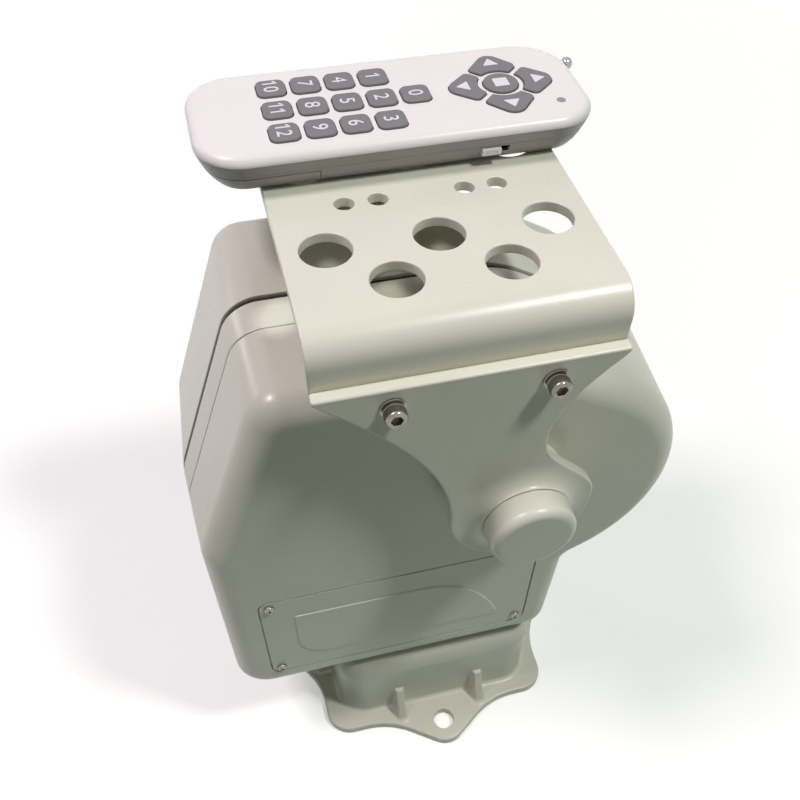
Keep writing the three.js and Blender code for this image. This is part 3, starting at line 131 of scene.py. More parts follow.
# Socket cap screws and washers of the arms, as (radius, level) from the arm's face
ARM_SCREW_LIFT = 92.95
FLAT_WASHER = [(3.2, 0.05), (5.8, 0), (6, 0.2), (6, 0.9), (5.8, 1.1), (3.2, 1.05)]
SPRING_WASHER = [(3.2, 1.2), (4.5, 1.15), (4.7, 1.35), (4.7, 2.15), (4.5, 2.35), (3.2, 2.3)]
SPLIT_SIZE, SPLIT_REACH, SPLIT_TILT, SPLIT_CUT = (4.0, 0.5), 4.4, 0.5, (0.0, 4.0)
SHANK_AND_FOOT = [(3, -13.8), (3, 2.4), (4.4, 2.42), (4.8, 2.7)]
GRIP_RADIUS, GRIP_DEPTH, GRIP_TEETH, GRIP_LEVELS = 4.94, 0.14, 36, (3.0, 6.6)
HEAD_CROWN = [(4.85, 6.9), (4.7, 7.4), (4.35, 7.75), (3.9, 7.8)]
SOCKET_RADIUS, SOCKET_CUT = 2.9, (4.8, 9.0)

# Platform
PLATFORM_X, PLATFORM_HALF, PLATFORM_TOP = -4.0, 70.0, 398.0
SHEET, SHEET_EDGE = 5.3, 0.9
LEG_OUTSIDE, LEG_END = 86.3, 350.0
LEG_TAPER = (22.0, 21.0)
BEND_RADIUS = 15.0
SCREW_REACH, SCREW_Z = 36.15, 363.0
HOLE_ROWS, HOLE_RADIUS = ((30.0, (-50, 0, 50)), (55.0, (-25, 25))), 11.5
SMALL_HOLE_REACHES, SMALL_HOLE_RADIUS = (20.2, 35.7), 4.5
HOLE_MOUTH = 0.7
HOLE_UNDERSIDE = [(0.6, -2.0), (0.6, 0.0), (0.2, 0.3)]
HOLE_NECK = 0.8

# Handset, on its own axes. HANDSET_SIDE lists (level, inset).
HANDSET_AT = (-6.0, 47.0, 398.3)
HANDSET_LENGTH, HANDSET_WIDTH, HANDSET_HEIGHT = 189.0, 72.0, 20.0
HANDSET_NOSE = 91.3
TAIL_RADIUS, NOSE_RADIUS, NOSE_REAR_RADIUS = 22.0, 20.0, 26.0
HANDSET_SIDE = [(0, 9), (2, 6.6), (5.6, 4.0), (10, 1.9), (13, 0.75), (15.4, 0), (17.2, 0.35),
                (18.8, 1.6), (19.7, 3.4), (20, 5.5)]
SIDE_LEAD_IN, SIDE_LEAD_OUT, SIDE_STEPS = Vector((6, 0)), Vector((5, 0.05)), 5
SIDE_CLEAR_LOW, SIDE_CLEAR_HIGH = 0.25, 0.1
PARTING, PARTING_GAP = 10.0, 0.06
PARTING_INSET, PARTING_DROP = 0.1, 0.12
# Below this level the upper shell's side is grey, which paints the shade on the side that turns from the light
PAINTED_SHADE_LEVEL = 15.6
HANDSET_WALL, HANDSET_BOARD = 2.2, 1.6
LOWER_FOOT = [(0.6, 0.0), (0.3, 0.15)]
LOWER_RIM, LOWER_INSIDE = 5.0, [(6.0, 5.6), (8.6, 2.2)]
DOOR_END, DOOR_HEIGHT, DOOR_GAP, DOOR_CUTTER = -41.0, 8.0, 0.35, (200.0, 160.0)
LED_AT, LED_HOLE, LED_CUT = (75.5, -20.5), 2.2, (10.0, 24.0)
LED_LENS = [(0, 12), (2.1, 12), (2.1, 20.0), (2.0, 20.08), (0, 20.1)]
SWITCH_SLOT, SWITCH_SLOT_AT, SWITCH_SLOT_CUT = (14.1, 15.0), (40.5, -36.0), (5.3, 9.1)
SWITCH_TAB, SWITCH_CORNER, SWITCH_AT = (9.5, 3.2), 0.6, (38.5, 1.15, 7.2)
SWITCH_FORM = [(0, 31), (0, 35.8), (0.15, 36.1), (0.5, 36.3)]
GROOVE_SIZE, GROOVE_CORNER, GROOVE_CUT = (0.45, 2.0), 0.1, (35.95, 38.0)
GROOVE_PLACES = (-2.4, -1.2, 0, 1.2, 2.4)
ANTENNA_Y, ANTENNA_Z = 22.0, 13.6
ANTENNA_BORE, ANTENNA_BORE_CUT = 1.7, (29.7, 110.0)
ANTENNA_ROD = [(0, 30), (1.4, 30), (1.4, 85.8), (1.2, 86.0), (1.2, 92.3)]
BALL_RADIUS, BALL_AT, BALL_STEPS, BALL_START = 3.0, 94.95, 20, 3

# Keys
KEY_SIZE, KEY_CORNER = (13.4, 13.8), 3.4
KEY_PITCH = (16.15, 18.7)
KEY_ROWS = [(10, 7, 4, 1), (11, 8, 5, 2), (12, 9, 6, 3)]
KEY_TOP, KEY_HEIGHT = 21.1, 4.8
KEY_GAP, KEY_EDGE, KEY_MOUTH = 0.35, 0.6, 0.25
KEY_CUT = (12.5, 24.0)
KEYPAD_AT, NAV_AT = (-53.9, -1.6), (52.2, -1.2)
NAV_REACH, NAV_GAP = 28.4, 2.8
NAV_SIDE_RADIUS, NAV_NOSE_RADIUS, NAV_BITE_RADIUS = 2.7, 6.0, 0.9
STOP_RADIUS = 8.4
DIGIT_SIZE, DIGIT_BOLDER, DIGIT_HALF, DIGIT_LIFT = 9.8, 0.04, 0.06, 0.02
ONE_WIDTH = 1.1
ONE_FLAG = [(0.2, 0), (-1.5, -1.3), (-1.5, -2.5), (0.2, -1.3)]
SYMBOL_SUNK, SYMBOL_RISE, SYMBOL_CORNER = 0.1, 0.07, 0.3
ARROW_HALF, ARROW_FOOT, ARROW_TIP = 3.9, 15.8, 22.0
SQUARE_SIZE = (7.0, 7.0)

# Levels between which a cutter passes through a shell, a screw's hole, an arm and the whole head
BORE_CUT, SCREW_CUT, ARM_CUT, WHOLE_CUT = (40.0, 90.0), (50.0, 80.0), (70.0, 110.0), (-120.0, 120.0)
OVERRUN, MOUTH_OVERRUN, BURIED = 5.0, 2.0, 1.0
LEAST_RADIUS = 0.05

# Studio: each lamp's name, direction, distance, width, share of white and colour
LAMPS = [
    ("lamp_over", (-0.05, 0.45, 0.9), 1.6, 1.1, 0.03, (0.98, 1.0, 0.98)),
    ("lamp_key", (0.38, -0.3, 0.875), 1.7, 0.22, 0.47, (0.96, 1.0, 0.94)),
    ("lamp_left", (-0.45, 0.02, 0.89), 1.7, 0.36, 0.5, (1.0, 0.89, 0.95)),
    ("lamp_back", (-0.68, 0.66, 0.34), 1.7, 0.22, 0.07, (1.0, 0.92, 0.96)),
    ("lamp_front", (0.0, -1.0, 0.3), 1.7, 1.0, 0.022, (0.86, 1.0, 0.78)),
]
LAMPS_AIM = Vector((0, 0, 0.25))
FLOOR_SIZE, FLOOR_LEVELS = (9000.0, 9000.0), (-20.0, -0.2)
FLOOR_SEEN, FLOOR_BOUNCE = (0.9, 0.9, 0.9, 1), (0.18, 0.25, 0.19, 1)
FLOOR_GLOW, FLOOR_GLOW_SPAN = (0.4, 1.0), (0.4, 2.2)
WHITE_LIGHT, NO_LIGHT, WORLD_BOUNCE = (1, 1, 1, 1), (0, 0, 0, 1), (0.03, 0.04, 0.03, 1)
CAMERA_AT, CAMERA_TURN = (-0.0993, -0.3318, 0.6321), (36.107, -1.125, -14.585)
CAMERA_LENS, CAMERA_SENSOR, CAMERA_SHIFT, CAMERA_NEAR = 39.145, 36, (-0.0157, 0.1307), 0.01

# Flat outlines


def corner(x, y, radius=0.0, steps=1):
    return (x, y, radius, steps)


def outline(corners, inset=0.0):
    """A polygon with rounded corners, run anticlockwise and drawn in by inset."""
    count = len(corners)
    places = [Vector((c[0], c[1])) for c in corners]
    lines = []
    for i, start in enumerate(places):
        along = (places[(i + 1) % count] - start).normalized()
        inward = Vector((-along.y, along.x))
        lines.append((start + inward * inset, along, inward))
    points = []
    for i, (_, _, radius, steps) in enumerate(corners):
        (a, da, na), (b, db, _) = lines[i - 1], lines[i]
        meeting = meet((a, da), (b, db))
        if radius == 0:
            points.append(meeting)
            continue
        turn = math.atan2(da.x * db.y - da.y * db.x, da.dot(db))
        side = math.copysign(1, turn)
        radius = max(radius - side * inset, LEAST_RADIUS)
        start = meeting - da * (radius * math.tan(abs(turn) / 2))
        centre = start + na * (side * radius)
        for k in range(steps + 1):
            points.append(centre + Matrix.Rotation(turn * k / steps, 2) @ (start - centre))
    return points


def meet(a, b):
    """Where two lines meet, each given as a place and a direction."""
    gap = b[0] - a[0]
    cross = a[1].x * b[1].y - a[1].y * b[1].x
    return a[0] + a[1] * ((gap.x * b[1].y - gap.y * b[1].x) / cross)


def offset(points, inset):
    """Draws a dense closed line inwards, corner by corner."""
    drawn = []
    for i, point in enumerate(points):
        a = (point - points[i - 1]).normalized()
        b = (points[(i + 1) % len(points)] - point).normalized()
        na, nb = Vector((-a.y, a.x)), Vector((-b.y, b.x))
        drawn.append(point + (na + nb) * (inset / (1 + na.dot(nb))))
    return drawn


def rectangle(size, radius=0.0, steps=1, centre=(0.0, 0.0)):
    (cx, cy), (w, h) = centre, (size[0] / 2, size[1] / 2)
    return [corner(cx + sx * w, cy + sy * h, radius, steps)
            for sx, sy in ((-1, -1), (1, -1), (1, 1), (-1, 1))]


def arc(centre, radius, start, end, steps):
    turns = [start + (end - start) * k / steps for k in range(steps + 1)]
    return [Vector((centre[0] + radius * math.cos(t), centre[1] + radius * math.sin(t))) for t in turns]


def circle(radius, steps=96, centre=(0.0, 0.0)):
    return arc(centre, radius, 0, 2 * math.pi, steps)[:-1]


def quadratic(start, handle, end, steps):
    a, b, c = Vector(start), Vector(handle), Vector(end)
    shares = [k / steps for k in range(1, steps + 1)]
    return [a * (1 - t) ** 2 + b * (2 * t * (1 - t)) + c * t ** 2 for t in shares]


def cubic(start, first, second, end, steps):
    a, b, c, d = Vector(start), Vector(first), Vector(second), Vector(end)
    shares = [k / steps for k in range(1, steps + 1)]
    return [a * (1 - t) ** 3 + b * (3 * t * (1 - t) ** 2) + c * (3 * t * t * (1 - t)) + d * t ** 3
            for t in shares]


def quarter_turns(steps):
    return [QUARTER * k / steps for k in range(steps + 1)]


def round_over(radius, steps):
    """(inset, fall) pairs of an edge that rounds from a wall to a flat top."""
    return [(radius * (1 - math.cos(t)), radius * (1 - math.sin(t))) for t in quarter_turns(steps)]


# Solids. FRONT and REAR stand a form that is drawn along Z on -Y and on +Y.

UP = Matrix.Identity(4)
FRONT = Matrix.Rotation(QUARTER, 4, "X")
REAR = Matrix.Scale(-1, 4, (0, 1, 0)) @ FRONT


def vertices(mesh, points, level, place):
    return [mesh.verts.new((place @ Vector((p.x, p.y, level))) * MM) for p in points]


def solid(name, rings, caps=True, place=UP):
    """Skins a stack of (points, level) rings. Without caps the last ring joins the first."""
    mesh = bmesh.new()
    rows = [vertices(mesh, points, level, place) for points, level in rings]
    pairs = list(zip(rows, rows[1:])) + ([] if caps else [(rows[-1], rows[0])])
    for low, high in pairs:
        for i in range(len(low)):
            j = (i + 1) % len(low)
            mesh.faces.new((low[i], low[j], high[j], high[i]))
    if caps:
        mesh.faces.new(list(reversed(rows[0])))
        mesh.faces.new(rows[-1])
    return to_object(name, mesh)


def to_object(name, mesh):
    bmesh.ops.recalc_face_normals(mesh, faces=mesh.faces)
    data = bpy.data.meshes.new(name)
    mesh.to_mesh(data)
    mesh.free()
    return placed(name, data)


def placed(name, data):
    obj = bpy.data.objects.new(name, data)
    bpy.context.scene.collection.objects.link(obj)
    return obj


def turned(name, profile, steps=96, place=UP):
    """Turns a (radius, level) profile about Z. Radius 0 at an end closes it."""
    mesh = bmesh.new()
    rows = [vertices(mesh, circle(radius, steps) if radius else [Vector((0, 0))], level, place)
            for radius, level in profile]
    closed = profile[0][0] != 0
    pairs = list(zip(rows, rows[1:])) + ([(rows[-1], rows[0])] if closed else [])
    for low, high in pairs:
        for i in range(steps):
            j = (i + 1) % steps
            ring = [low[i % len(low)], low[j % len(low)], high[j % len(high)], high[i % len(high)]]
            mesh.faces.new(list(dict.fromkeys(ring)))
    return to_object(name, mesh)


def prism(name, points, low, high, place=UP):
    return solid(name, [(points, low), (points, high)], place=place)


def mouth_rings(points, high, flare, steps):
    """Rings that open with a rounded edge up to level high."""
    return [(offset(points, -i), high - f) for i, f in round_over(flare, steps)]


def flared(name, points, low, high, flare, place=UP):
    """A cutter whose mouth at level high opens with a rounded edge."""
    rings = [(points, low)] + mouth_rings(points, high, flare, 4)
    rings.append((offset(points, -flare), high + MOUTH_OVERRUN))
    return solid(name, rings, place=place)


def evaluated(obj):
    """The object's mesh with its modifiers applied."""
    graph = bpy.context.evaluated_depsgraph_get()
    return bpy.data.meshes.new_from_object(obj.evaluated_get(graph))


def combine(obj, kind, *tools):
    for tool in tools:
        step = obj.modifiers.new("step", "BOOLEAN")
        step.operation, step.solver, step.object = kind, "MANIFOLD", tool
    obj.data = evaluated(obj)
    obj.modifiers.clear()
    for tool in tools:
        bpy.data.objects.remove(tool)
    return obj


def carve(obj, *tools):
    return combine(obj, "DIFFERENCE", *tools)


def fuse(obj, *tools):
    return combine(obj, "UNION", *tools)


def gather(obj, *others):
    """Puts separate meshes of one piece in one object."""
    mesh = bmesh.new()
    for part in (obj, *others):
        mesh.from_mesh(part.data)
    mesh.to_mesh(obj.data)
    mesh.free()
    for part in others:
        bpy.data.objects.remove(part)
    return obj


def moved(obj, x=0.0, y=0.0, z=0.0, turn=UP):
    """Turns a mesh about its origin and then shifts it by millimetres."""
    obj.data.transform(Matrix.Translation(Vector((x, y, z)) * MM) @ turn)
    return obj


def spun(obj, turn):
    """Turns a mesh about Z by quarter turns."""
    return moved(obj, turn=Matrix.Rotation(QUARTER * turn, 4, "Z"))


# Finishes


def linear(colour):
    """A screen colour of 0 to 255 as the light that it stands for."""
    shares = [value / 255 for value in colour]
    return [s / 12.92 if s <= 0.04045 else ((s + 0.055) / 1.055) ** 2.4 for s in shares]


def blend(tree, factor, first, second):
    """The first colour where factor is 0 and the second where it is 1."""
    node = tree.nodes.new("ShaderNodeMix")
    node.data_type = "RGBA"
    tree.links.new(factor, node.inputs["Factor"])
    low, high = [s for s in node.inputs if s.type == "RGBA"]
    low.default_value, high.default_value = first, second
    return [s for s in node.outputs if s.type == "RGBA"][0]


def stretch(tree, source, span, result):
    """Maps the source's span of values to the span of the result."""
    node = tree.nodes.new("ShaderNodeMapRange")
    for key, value in zip(("From Min", "From Max", "To Min", "To Max"), (*span, *result)):
        node.inputs[key].default_value = value
    tree.links.new(source, node.inputs["Value"])
    return node.outputs["Result"]


def noise(tree, scale, detail):
    node = tree.nodes.new("ShaderNodeTexNoise")
    node.inputs["Scale"].default_value = scale
    node.inputs["Detail"].default_value = detail
    place = tree.nodes.new("ShaderNodeTexCoord").outputs["Object"]
    tree.links.new(place, node.inputs["Vector"])
    return node.outputs["Fac"]


NOISE_SPAN = (0.3, 0.7)
BROAD_DETAIL, FINE_DETAIL = 3, 2
COARSE_SHARE = 3.1


def finish(name, colour, roughness, metallic=0.0, *, grain, mottle, spread=0.08):
    """A node finish: broad mottling in the colour, and fine grain in the relief and the gloss.
    Grain is (scale, height in millimetres), and mottle is (scale, share of the colour)."""
    made = bpy.data.materials.new(name)
    made.use_nodes = True
    tree, link = made.node_tree, made.node_tree.links.new
    shader = tree.nodes["Principled BSDF"]
    shader.inputs["Metallic"].default_value = metallic
    dark = [c * (1 - mottle[1]) for c in linear(colour)] + [1]
    light = [min(c * (1 + mottle[1]), 1) for c in linear(colour)] + [1]
    broad = stretch(tree, noise(tree, mottle[0], BROAD_DETAIL), NOISE_SPAN, (0, 1))
    link(blend(tree, broad, dark, light), shader.inputs["Base Color"])
    fine = noise(tree, grain[0], FINE_DETAIL)
    coarse = noise(tree, grain[0] / COARSE_SHARE, FINE_DETAIL)
    gloss = stretch(tree, coarse, NOISE_SPAN, (roughness - spread, roughness + spread))
    link(gloss, shader.inputs["Roughness"])
    total = tree.nodes.new("ShaderNodeMath")
    total.operation = "ADD"
    link(fine, total.inputs[0])
    link(coarse, total.inputs[1])
    bump = tree.nodes.new("ShaderNodeBump")
    bump.inputs["Distance"].default_value = grain[1] * MM
    link(total.outputs[0], bump.inputs["Height"])
    link(bump.outputs["Normal"], shader.inputs["Normal"])
    return made


POWDER = finish("powder_coat", (222, 220, 207), 0.31, grain=(2200, 0.012), mottle=(18, 0.03), spread=0.04)
STAINLESS = finish("stainless", (138, 134, 127), 0.2, 1.0, grain=(2200, 0.01), mottle=(160, 0.2))
STEEL = finish("ground_steel", (141, 145, 150), 0.34, 1.0, grain=(2600, 0.01), mottle=(90, 0.1))
BRONZE = finish("bronze", (169, 131, 74), 0.38, 1.0, grain=(1800, 0.02), mottle=(60, 0.14))
RUBBER = finish("rubber", (30, 25, 23), 0.8, grain=(1200, 0.06), mottle=(60, 0.12))
MOTOR = finish("motor_paint", (59, 62, 66), 0.5, 0.3, grain=(1000, 0.04), mottle=(40, 0.08))
BOARD = finish("board_green", (44, 91, 61), 0.42, grain=(800, 0.02), mottle=(200, 0.12))
WHITE = finish("handset_white", (236, 230, 232), 0.36, grain=(3200, 0.012), mottle=(25, 0.015))
# A darker copy of the handset white: painted shade for the handset's sides and underside
SIDE_PAINTED_SHADE = finish("handset_side_painted_shade", (150, 148, 148), 0.34, grain=(3200, 0.012), mottle=(25, 0.02))
KEY = finish("key_grey", (119, 116, 120), 0.55, grain=(2800, 0.02), mottle=(60, 0.03))
PRINT = finish("key_print", (228, 224, 231), 0.5, grain=(3000, 0.01), mottle=(200, 0.02))
CHROME = finish("chrome", (168, 170, 173), 0.1, 1.0, grain=(900, 0.004), mottle=(80, 0.04), spread=0.04)
LENS = finish("lens", (146, 142, 146), 0.4, grain=(1500, 0.01), mottle=(120, 0.04))

SMOOTH_BELOW = math.radians(32)


def dress(obj, body, paint, slot, *nodes):
    """Gives a piece its finish and its soft shading, and sets it on its body."""
    data = obj.data
    data.materials.clear()
    data.materials.append(paint)
    data.shade_smooth()
    data.set_sharp_from_angle(angle=SMOOTH_BELOW)
    step = obj.modifiers.new("normals", "WEIGHTED_NORMAL")
    step.keep_sharp = True
    obj.data = evaluated(obj)
    obj.modifiers.clear()
    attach(obj, body)
    if nodes:
        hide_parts(*nodes)
    return obj


def coated(obj, body, node):
    return dress(obj, body, POWDER, "powder_coat", node)


# Base


def rib_ring(level, grow):
    """One level of a rib: it stands out of the pedestal's wall, soft at its root and its tip."""
    share = (level - FLANGE_TOP) / (RIB_TOP - FLANGE_TOP)
    half = RIB_HALF_FOOT + (RIB_HALF_CREST - RIB_HALF_FOOT) * share + grow
    reach = RIB_REACH + (RIB_CREST - RIB_REACH) * share + grow
    root, tip = min(RIB_ROOT, reach / 2), min(half, reach / 2) * RIB_TIP_SHARE
    side = [(-RIB_SUNK, half + root)] + [(i, half + f) for i, f in round_over(root, 5)]
    side += [(reach - tip + tip * math.sin(t), half - tip + tip * math.cos(t)) for t in quarter_turns(5)]
    way = [Vector((-across, -PEDESTAL_WIDTH / 2 - out)) for out, across in side]
    return (way + [Vector((-p.x, p.y)) for p in reversed(way)], level)


def base_rib():
    foot = [(RIB_ROOT * (1 - math.sin(t)), FLANGE_TOP + RIB_ROOT * (1 - math.cos(t)))
            for t in quarter_turns(5)]
    rings = [rib_ring(FLANGE_TOP - RIB_BURIED, RIB_ROOT)] + [rib_ring(level, grow) for grow, level in foot]
    rings += [rib_ring(RIB_TOP - f, -i) for i, f in round_over(RIB_EDGE, 4)]
    return solid("rib", rings)


def flange():
    quarter = [corner(-FLANGE_HALF, -FLANGE_HALF, FLANGE_CORNER, 8),
               corner(-EAR_ROOT, -FLANGE_HALF, EAR_ROOT_RADIUS, 8),
               corner(0, -EAR_NOSE, EAR_NOSE_RADIUS, 12),
               corner(EAR_ROOT, -FLANGE_HALF, EAR_ROOT_RADIUS, 8)]
    corners = []
    for turn in range(4):
        spin = Matrix.Rotation(QUARTER * turn, 2)
        corners += [corner(*(spin @ Vector((x, y))), radius, steps) for x, y, radius, steps in quarter]
    rings = [(outline(corners, FLANGE_FOOT_EDGE), 0), (outline(corners), FLANGE_FOOT_EDGE)]
    rings += [(outline(corners, i), FLANGE_TOP - f) for i, f in round_over(FLANGE_EDGE, 5)]
    return solid("base", rings)


def pedestal(block):
    root = PEDESTAL_ROOT
    rings = [(outline(block, -root), PEDESTAL_FOOT)]
    rings += [(outline(block, root * (math.sin(t) - 1)), FLANGE_TOP + root * (1 - math.cos(t)))
              for t in PEDESTAL_ROOT_TURNS]
    rings += [(outline(block, i), PEDESTAL_TOP - f) for i, f in round_over(PEDESTAL_SHOULDER, 12)]
    return solid("pedestal", rings)


def base_hollow(block):
    """The four hollows under the pedestal, between the boss of the pan shaft and its webs."""
    hollow = solid("hollow", [(outline(block, inset), level) for inset, level in HOLLOW_WALL])
    carve(hollow, prism("boss", circle(PAN_BOSS_RADIUS), UNDER_BASE, OVER_BASE))
    for turn in (0, 1):
        carve(hollow, spun(prism("web", outline(rectangle(WEB_SIZE)), WEB_FOOT, OVER_BASE), turn))
    return hollow


def base_casting():
    block = rectangle((PEDESTAL_WIDTH, PEDESTAL_WIDTH), PEDESTAL_CORNER, 10)
    base = fuse(flange(), pedestal(block))
    for turn in range(4):
        for side in (-RIB_OFFSET, RIB_OFFSET):
            fuse(base, spun(moved(base_rib(), side), turn))
    carve(base, base_hollow(block))
    carve(base, prism("bore", circle(PAN_BORE_RADIUS), PAN_BORE_FLOOR, OVER_BASE))
    for turn in range(4):
        hole = flared("ear", circle(EAR_HOLE_RADIUS, 48), -OVERRUN, FLANGE_TOP, EAR_HOLE_MOUTH)
        carve(base, spun(moved(hole, 0, -EAR_HOLE_REACH), turn))
    return coated(base, "base", "base_casting")


def turntable():
    profile = [(TABLE_POCKET, TABLE_FOOT), (TABLE_RADIUS - TABLE_EDGE, TABLE_FOOT),
               (TABLE_RADIUS, TABLE_FOOT + TABLE_EDGE), (TABLE_RADIUS, TABLE_TOP - TABLE_EDGE),
               (TABLE_RADIUS - TABLE_EDGE, TABLE_TOP), (TABLE_HUB_RADIUS, TABLE_TOP),
               (TABLE_HUB_RADIUS, TABLE_HUB_TOP), (TABLE_BORE, TABLE_HUB_TOP),
               (TABLE_BORE, TABLE_POCKET_TOP), (TABLE_POCKET, TABLE_POCKET_TOP)]
    return dress(turned("turntable_disc", profile), "turret", STEEL, "ground_steel", "turntable")


# Turret body


def body_corners():
    def tangent(angle):
        out = Vector((math.cos(angle), math.sin(angle)))
        return Vector(DOME_CENTRE) + out * DOME_RADIUS, Vector((-out.y, out.x))

    low, high = tangent(DOME_LOW), tangent(DOME_HIGH)
    foot = Vector((BODY_RIGHT_FOOT, BODY_BOTTOM))
    crook = meet((foot, Vector((WALL_LEAN, 1))), low)
    nose = meet(low, high)
    brow = meet(high, (Vector((0, BODY_TOP)), Vector((-1, 0))))
    return [corner(BODY_LEFT, BODY_BOTTOM, LOWER_LEFT_RADIUS, 14), corner(*foot, LOWER_RIGHT_RADIUS, 12),
            corner(*crook, CROOK_RADIUS, 6), corner(*nose, DOME_RADIUS, 56),
            corner(*brow, BROW_RADIUS, 14), corner(BODY_LEFT + SHOULDER_INSET, BODY_TOP, TOP_LEFT_RADIUS, 12),
            corner(BODY_LEFT, SHOULDER_FOOT, SHOULDER_RADIUS, 10)]


BODY = body_corners()


def body_ring(depth, inset=0.0):
    return (outline(BODY, inset + DRAFT * depth), depth)


def seam_rings(near):
    """The softened lip of a joint line, from its inner edge to the wall."""
    return [body_ring(near, SEAM_LIP), body_ring(near + SEAM_LIP * SEAM_SHARE, SEAM_LIP * SEAM_SHARE),
            body_ring(near + SEAM_LIP)]


def on_tilt_axis(radius):
    return circle(radius, 72, (TILT_X, TILT_Z))


def hub_opening():
    return prism("opening", circle(HUB_OPENING), 0, HUB_OPENING_TOP)


def shell(name, near, place, fillet):
    """One drafted half as a cup with a rounded front edge, a spigot and a bore."""
    top = BODY_FACE - SHELL_WALL
    inner = [body_ring(top - f, SHELL_WALL + i) for i, f in round_over(fillet - SHELL_WALL, 5)]
    rings = list(reversed(inner)) + [body_ring(near, SHELL_WALL)] + seam_rings(near)
    rings += [body_ring(BODY_FACE - f, i) for i, f in round_over(fillet, 14)]
    made = solid(name, rings, place=place)
    rim = BODY_FACE + SPIGOT_RISE
    spigot = [(on_tilt_axis(SPIGOT_RADIUS), top + BURIED), (on_tilt_axis(SPIGOT_RADIUS), rim - SPIGOT_EDGE),
              (on_tilt_axis(SPIGOT_RADIUS - SPIGOT_EDGE), rim)]
    fuse(made, solid("spigot", spigot, place=place))
    return carve(made, prism("bore", on_tilt_axis(SHAFT_BORE), *BORE_CUT, place=place), hub_opening())


def rear_shell():
    return coated(shell("shell_rear", GASKET_HALF + SEAT_GAP, REAR, REAR_FILLET), "turret", "rear_shell")


def plate_screw_places():
    (cx, cz), (w, h) = PLATE_CENTRE, PLATE_SIZE
    reach_x, reach_z = w / 2 - PLATE_SCREW_INSET, h / 2 - PLATE_SCREW_INSET
    return [(cx + sx * reach_x, cz + sz * reach_z) for sz in (-1, 1) for sx in (-1, 1)]


def plate_screw_holes(obj):
    for at in plate_screw_places():
        carve(obj, prism("hole", circle(PLATE_SCREW_HOLE, 24, at), *SCREW_CUT, place=FRONT))


def front_shell():
    made = shell("shell_front", FRAME_DEPTH + SEAT_GAP, FRONT, SHELL_FILLET)
    seat = BODY_FACE - PLATE_THICKNESS - SEAT_GAP
    grown = (PLATE_SIZE[0] + 2 * PLATE_GAP, PLATE_SIZE[1] + 2 * PLATE_GAP)
    around = outline(rectangle(grown, PLATE_CORNER + PLATE_GAP, 8, PLATE_CENTRE))
    carve(made, flared("recess", around, seat, BODY_FACE, PLATE_MOUTH, place=FRONT))
    plate_screw_holes(made)
    return coated(made, "turret", "front_shell")


def centre_frame():
    near, far = GASKET_HALF + SEAT_GAP, FRAME_DEPTH
    rings = seam_rings(near) + [body_ring(far - FRAME_EDGE), body_ring(far - FRAME_BEVEL, FRAME_BEVEL),
                                body_ring(far, FRAME_EDGE), body_ring(far, SHELL_WALL),
                                body_ring(near, SHELL_WALL)]
    made = carve(solid("frame_centre", rings, caps=False, place=FRONT), hub_opening())
    return coated(made, "turret", "centre_frame")


def gasket():
    deep = GASKET_RECESS + GASKET_WIDTH
    section = [(GASKET_RECESS + GASKET_BULGE, -GASKET_HALF), (GASKET_RECESS, -GASKET_CREST),
               (GASKET_RECESS, GASKET_CREST), (GASKET_RECESS + GASKET_BULGE, GASKET_HALF),
               (deep, GASKET_HALF), (deep, -GASKET_HALF)]
    rings = [(outline(BODY, inset), level) for inset, level in section]
    made = carve(solid("gasket_seal", rings, caps=False, place=FRONT), hub_opening())
    return dress(made, "turret", RUBBER, "rubber", "body_gasket")


def leaf_outline():
    """The raised field of the access plate: a round heel, a pointed lower right and a swept side."""
    (cx, cz), (w, h) = PANEL_CENTRE, PANEL_SIZE
    left, right, low, high = cx - w / 2, cx + w / 2, cz - h / 2, cz + h / 2
    tip_x, tip_lean = PANEL_TIP
    point = (right - PANEL_POINT, low + PANEL_POINT)
    leaf = [Vector((left + PANEL_HEEL, low)), Vector((right - PANEL_CORNER, low))]
    leaf += quadratic(point, (right - tip_lean, high), (right - tip_x, high), 22)
    leaf += [Vector((left + PANEL_CORNER, high)), Vector((left + PANEL_NIP, high - PANEL_NIP)),
             Vector((left, high - PANEL_CORNER)), Vector((left, low + PANEL_HEEL))]
    return leaf + quadratic((left, low + PANEL_HEEL), (left, low), (left + PANEL_HEEL, low), 12)[:-1]


def access_plate():
    rim = rectangle(PLATE_SIZE, PLATE_CORNER, 8, PLATE_CENTRE)
    back = BODY_FACE - PLATE_THICKNESS
    rings = [(outline(rim, PLATE_BACK_EDGE), back), (outline(rim), back + PLATE_BACK_EDGE)]
    rings += [(outline(rim, i), BODY_FACE - f) for i, f in round_over(PLATE_EDGE, 4)]
    made = solid("plate_access", rings, place=FRONT)
    leaf = leaf_outline()
    rings = [(leaf, back + BURIED), (leaf, BODY_FACE)]
    rings += [(offset(leaf, PANEL_DRAFT + i), BODY_FACE + PANEL_RISE - f)
              for i, f in round_over(PANEL_EDGE, 5)]
    fuse(made, solid("leaf", rings, place=FRONT))
    plate_screw_holes(made)
    return coated(made, "turret", "access_plate")


def access_screws():
    for number, (x, z) in enumerate(plate_screw_places(), 1):
        screw = turned(f"plate_screw_{number}", PLATE_SCREW, 40)
        for size in ((CROSS_LENGTH, CROSS_WIDTH), (CROSS_WIDTH, CROSS_LENGTH)):
            slot = prism("slot", outline(rectangle(size, CROSS_CORNER, 2)), *CROSS_CUT)
            carve(screw, moved(slot, turn=Matrix.Rotation(PLATE_SCREW_TURN * number, 4, "Z")))
        moved(screw, x, -BODY_FACE - PLATE_SCREW_LIFT, z, FRONT)
        dress(screw, "turret", STAINLESS, "stainless", f"access_screw_{number}")


# Cradle


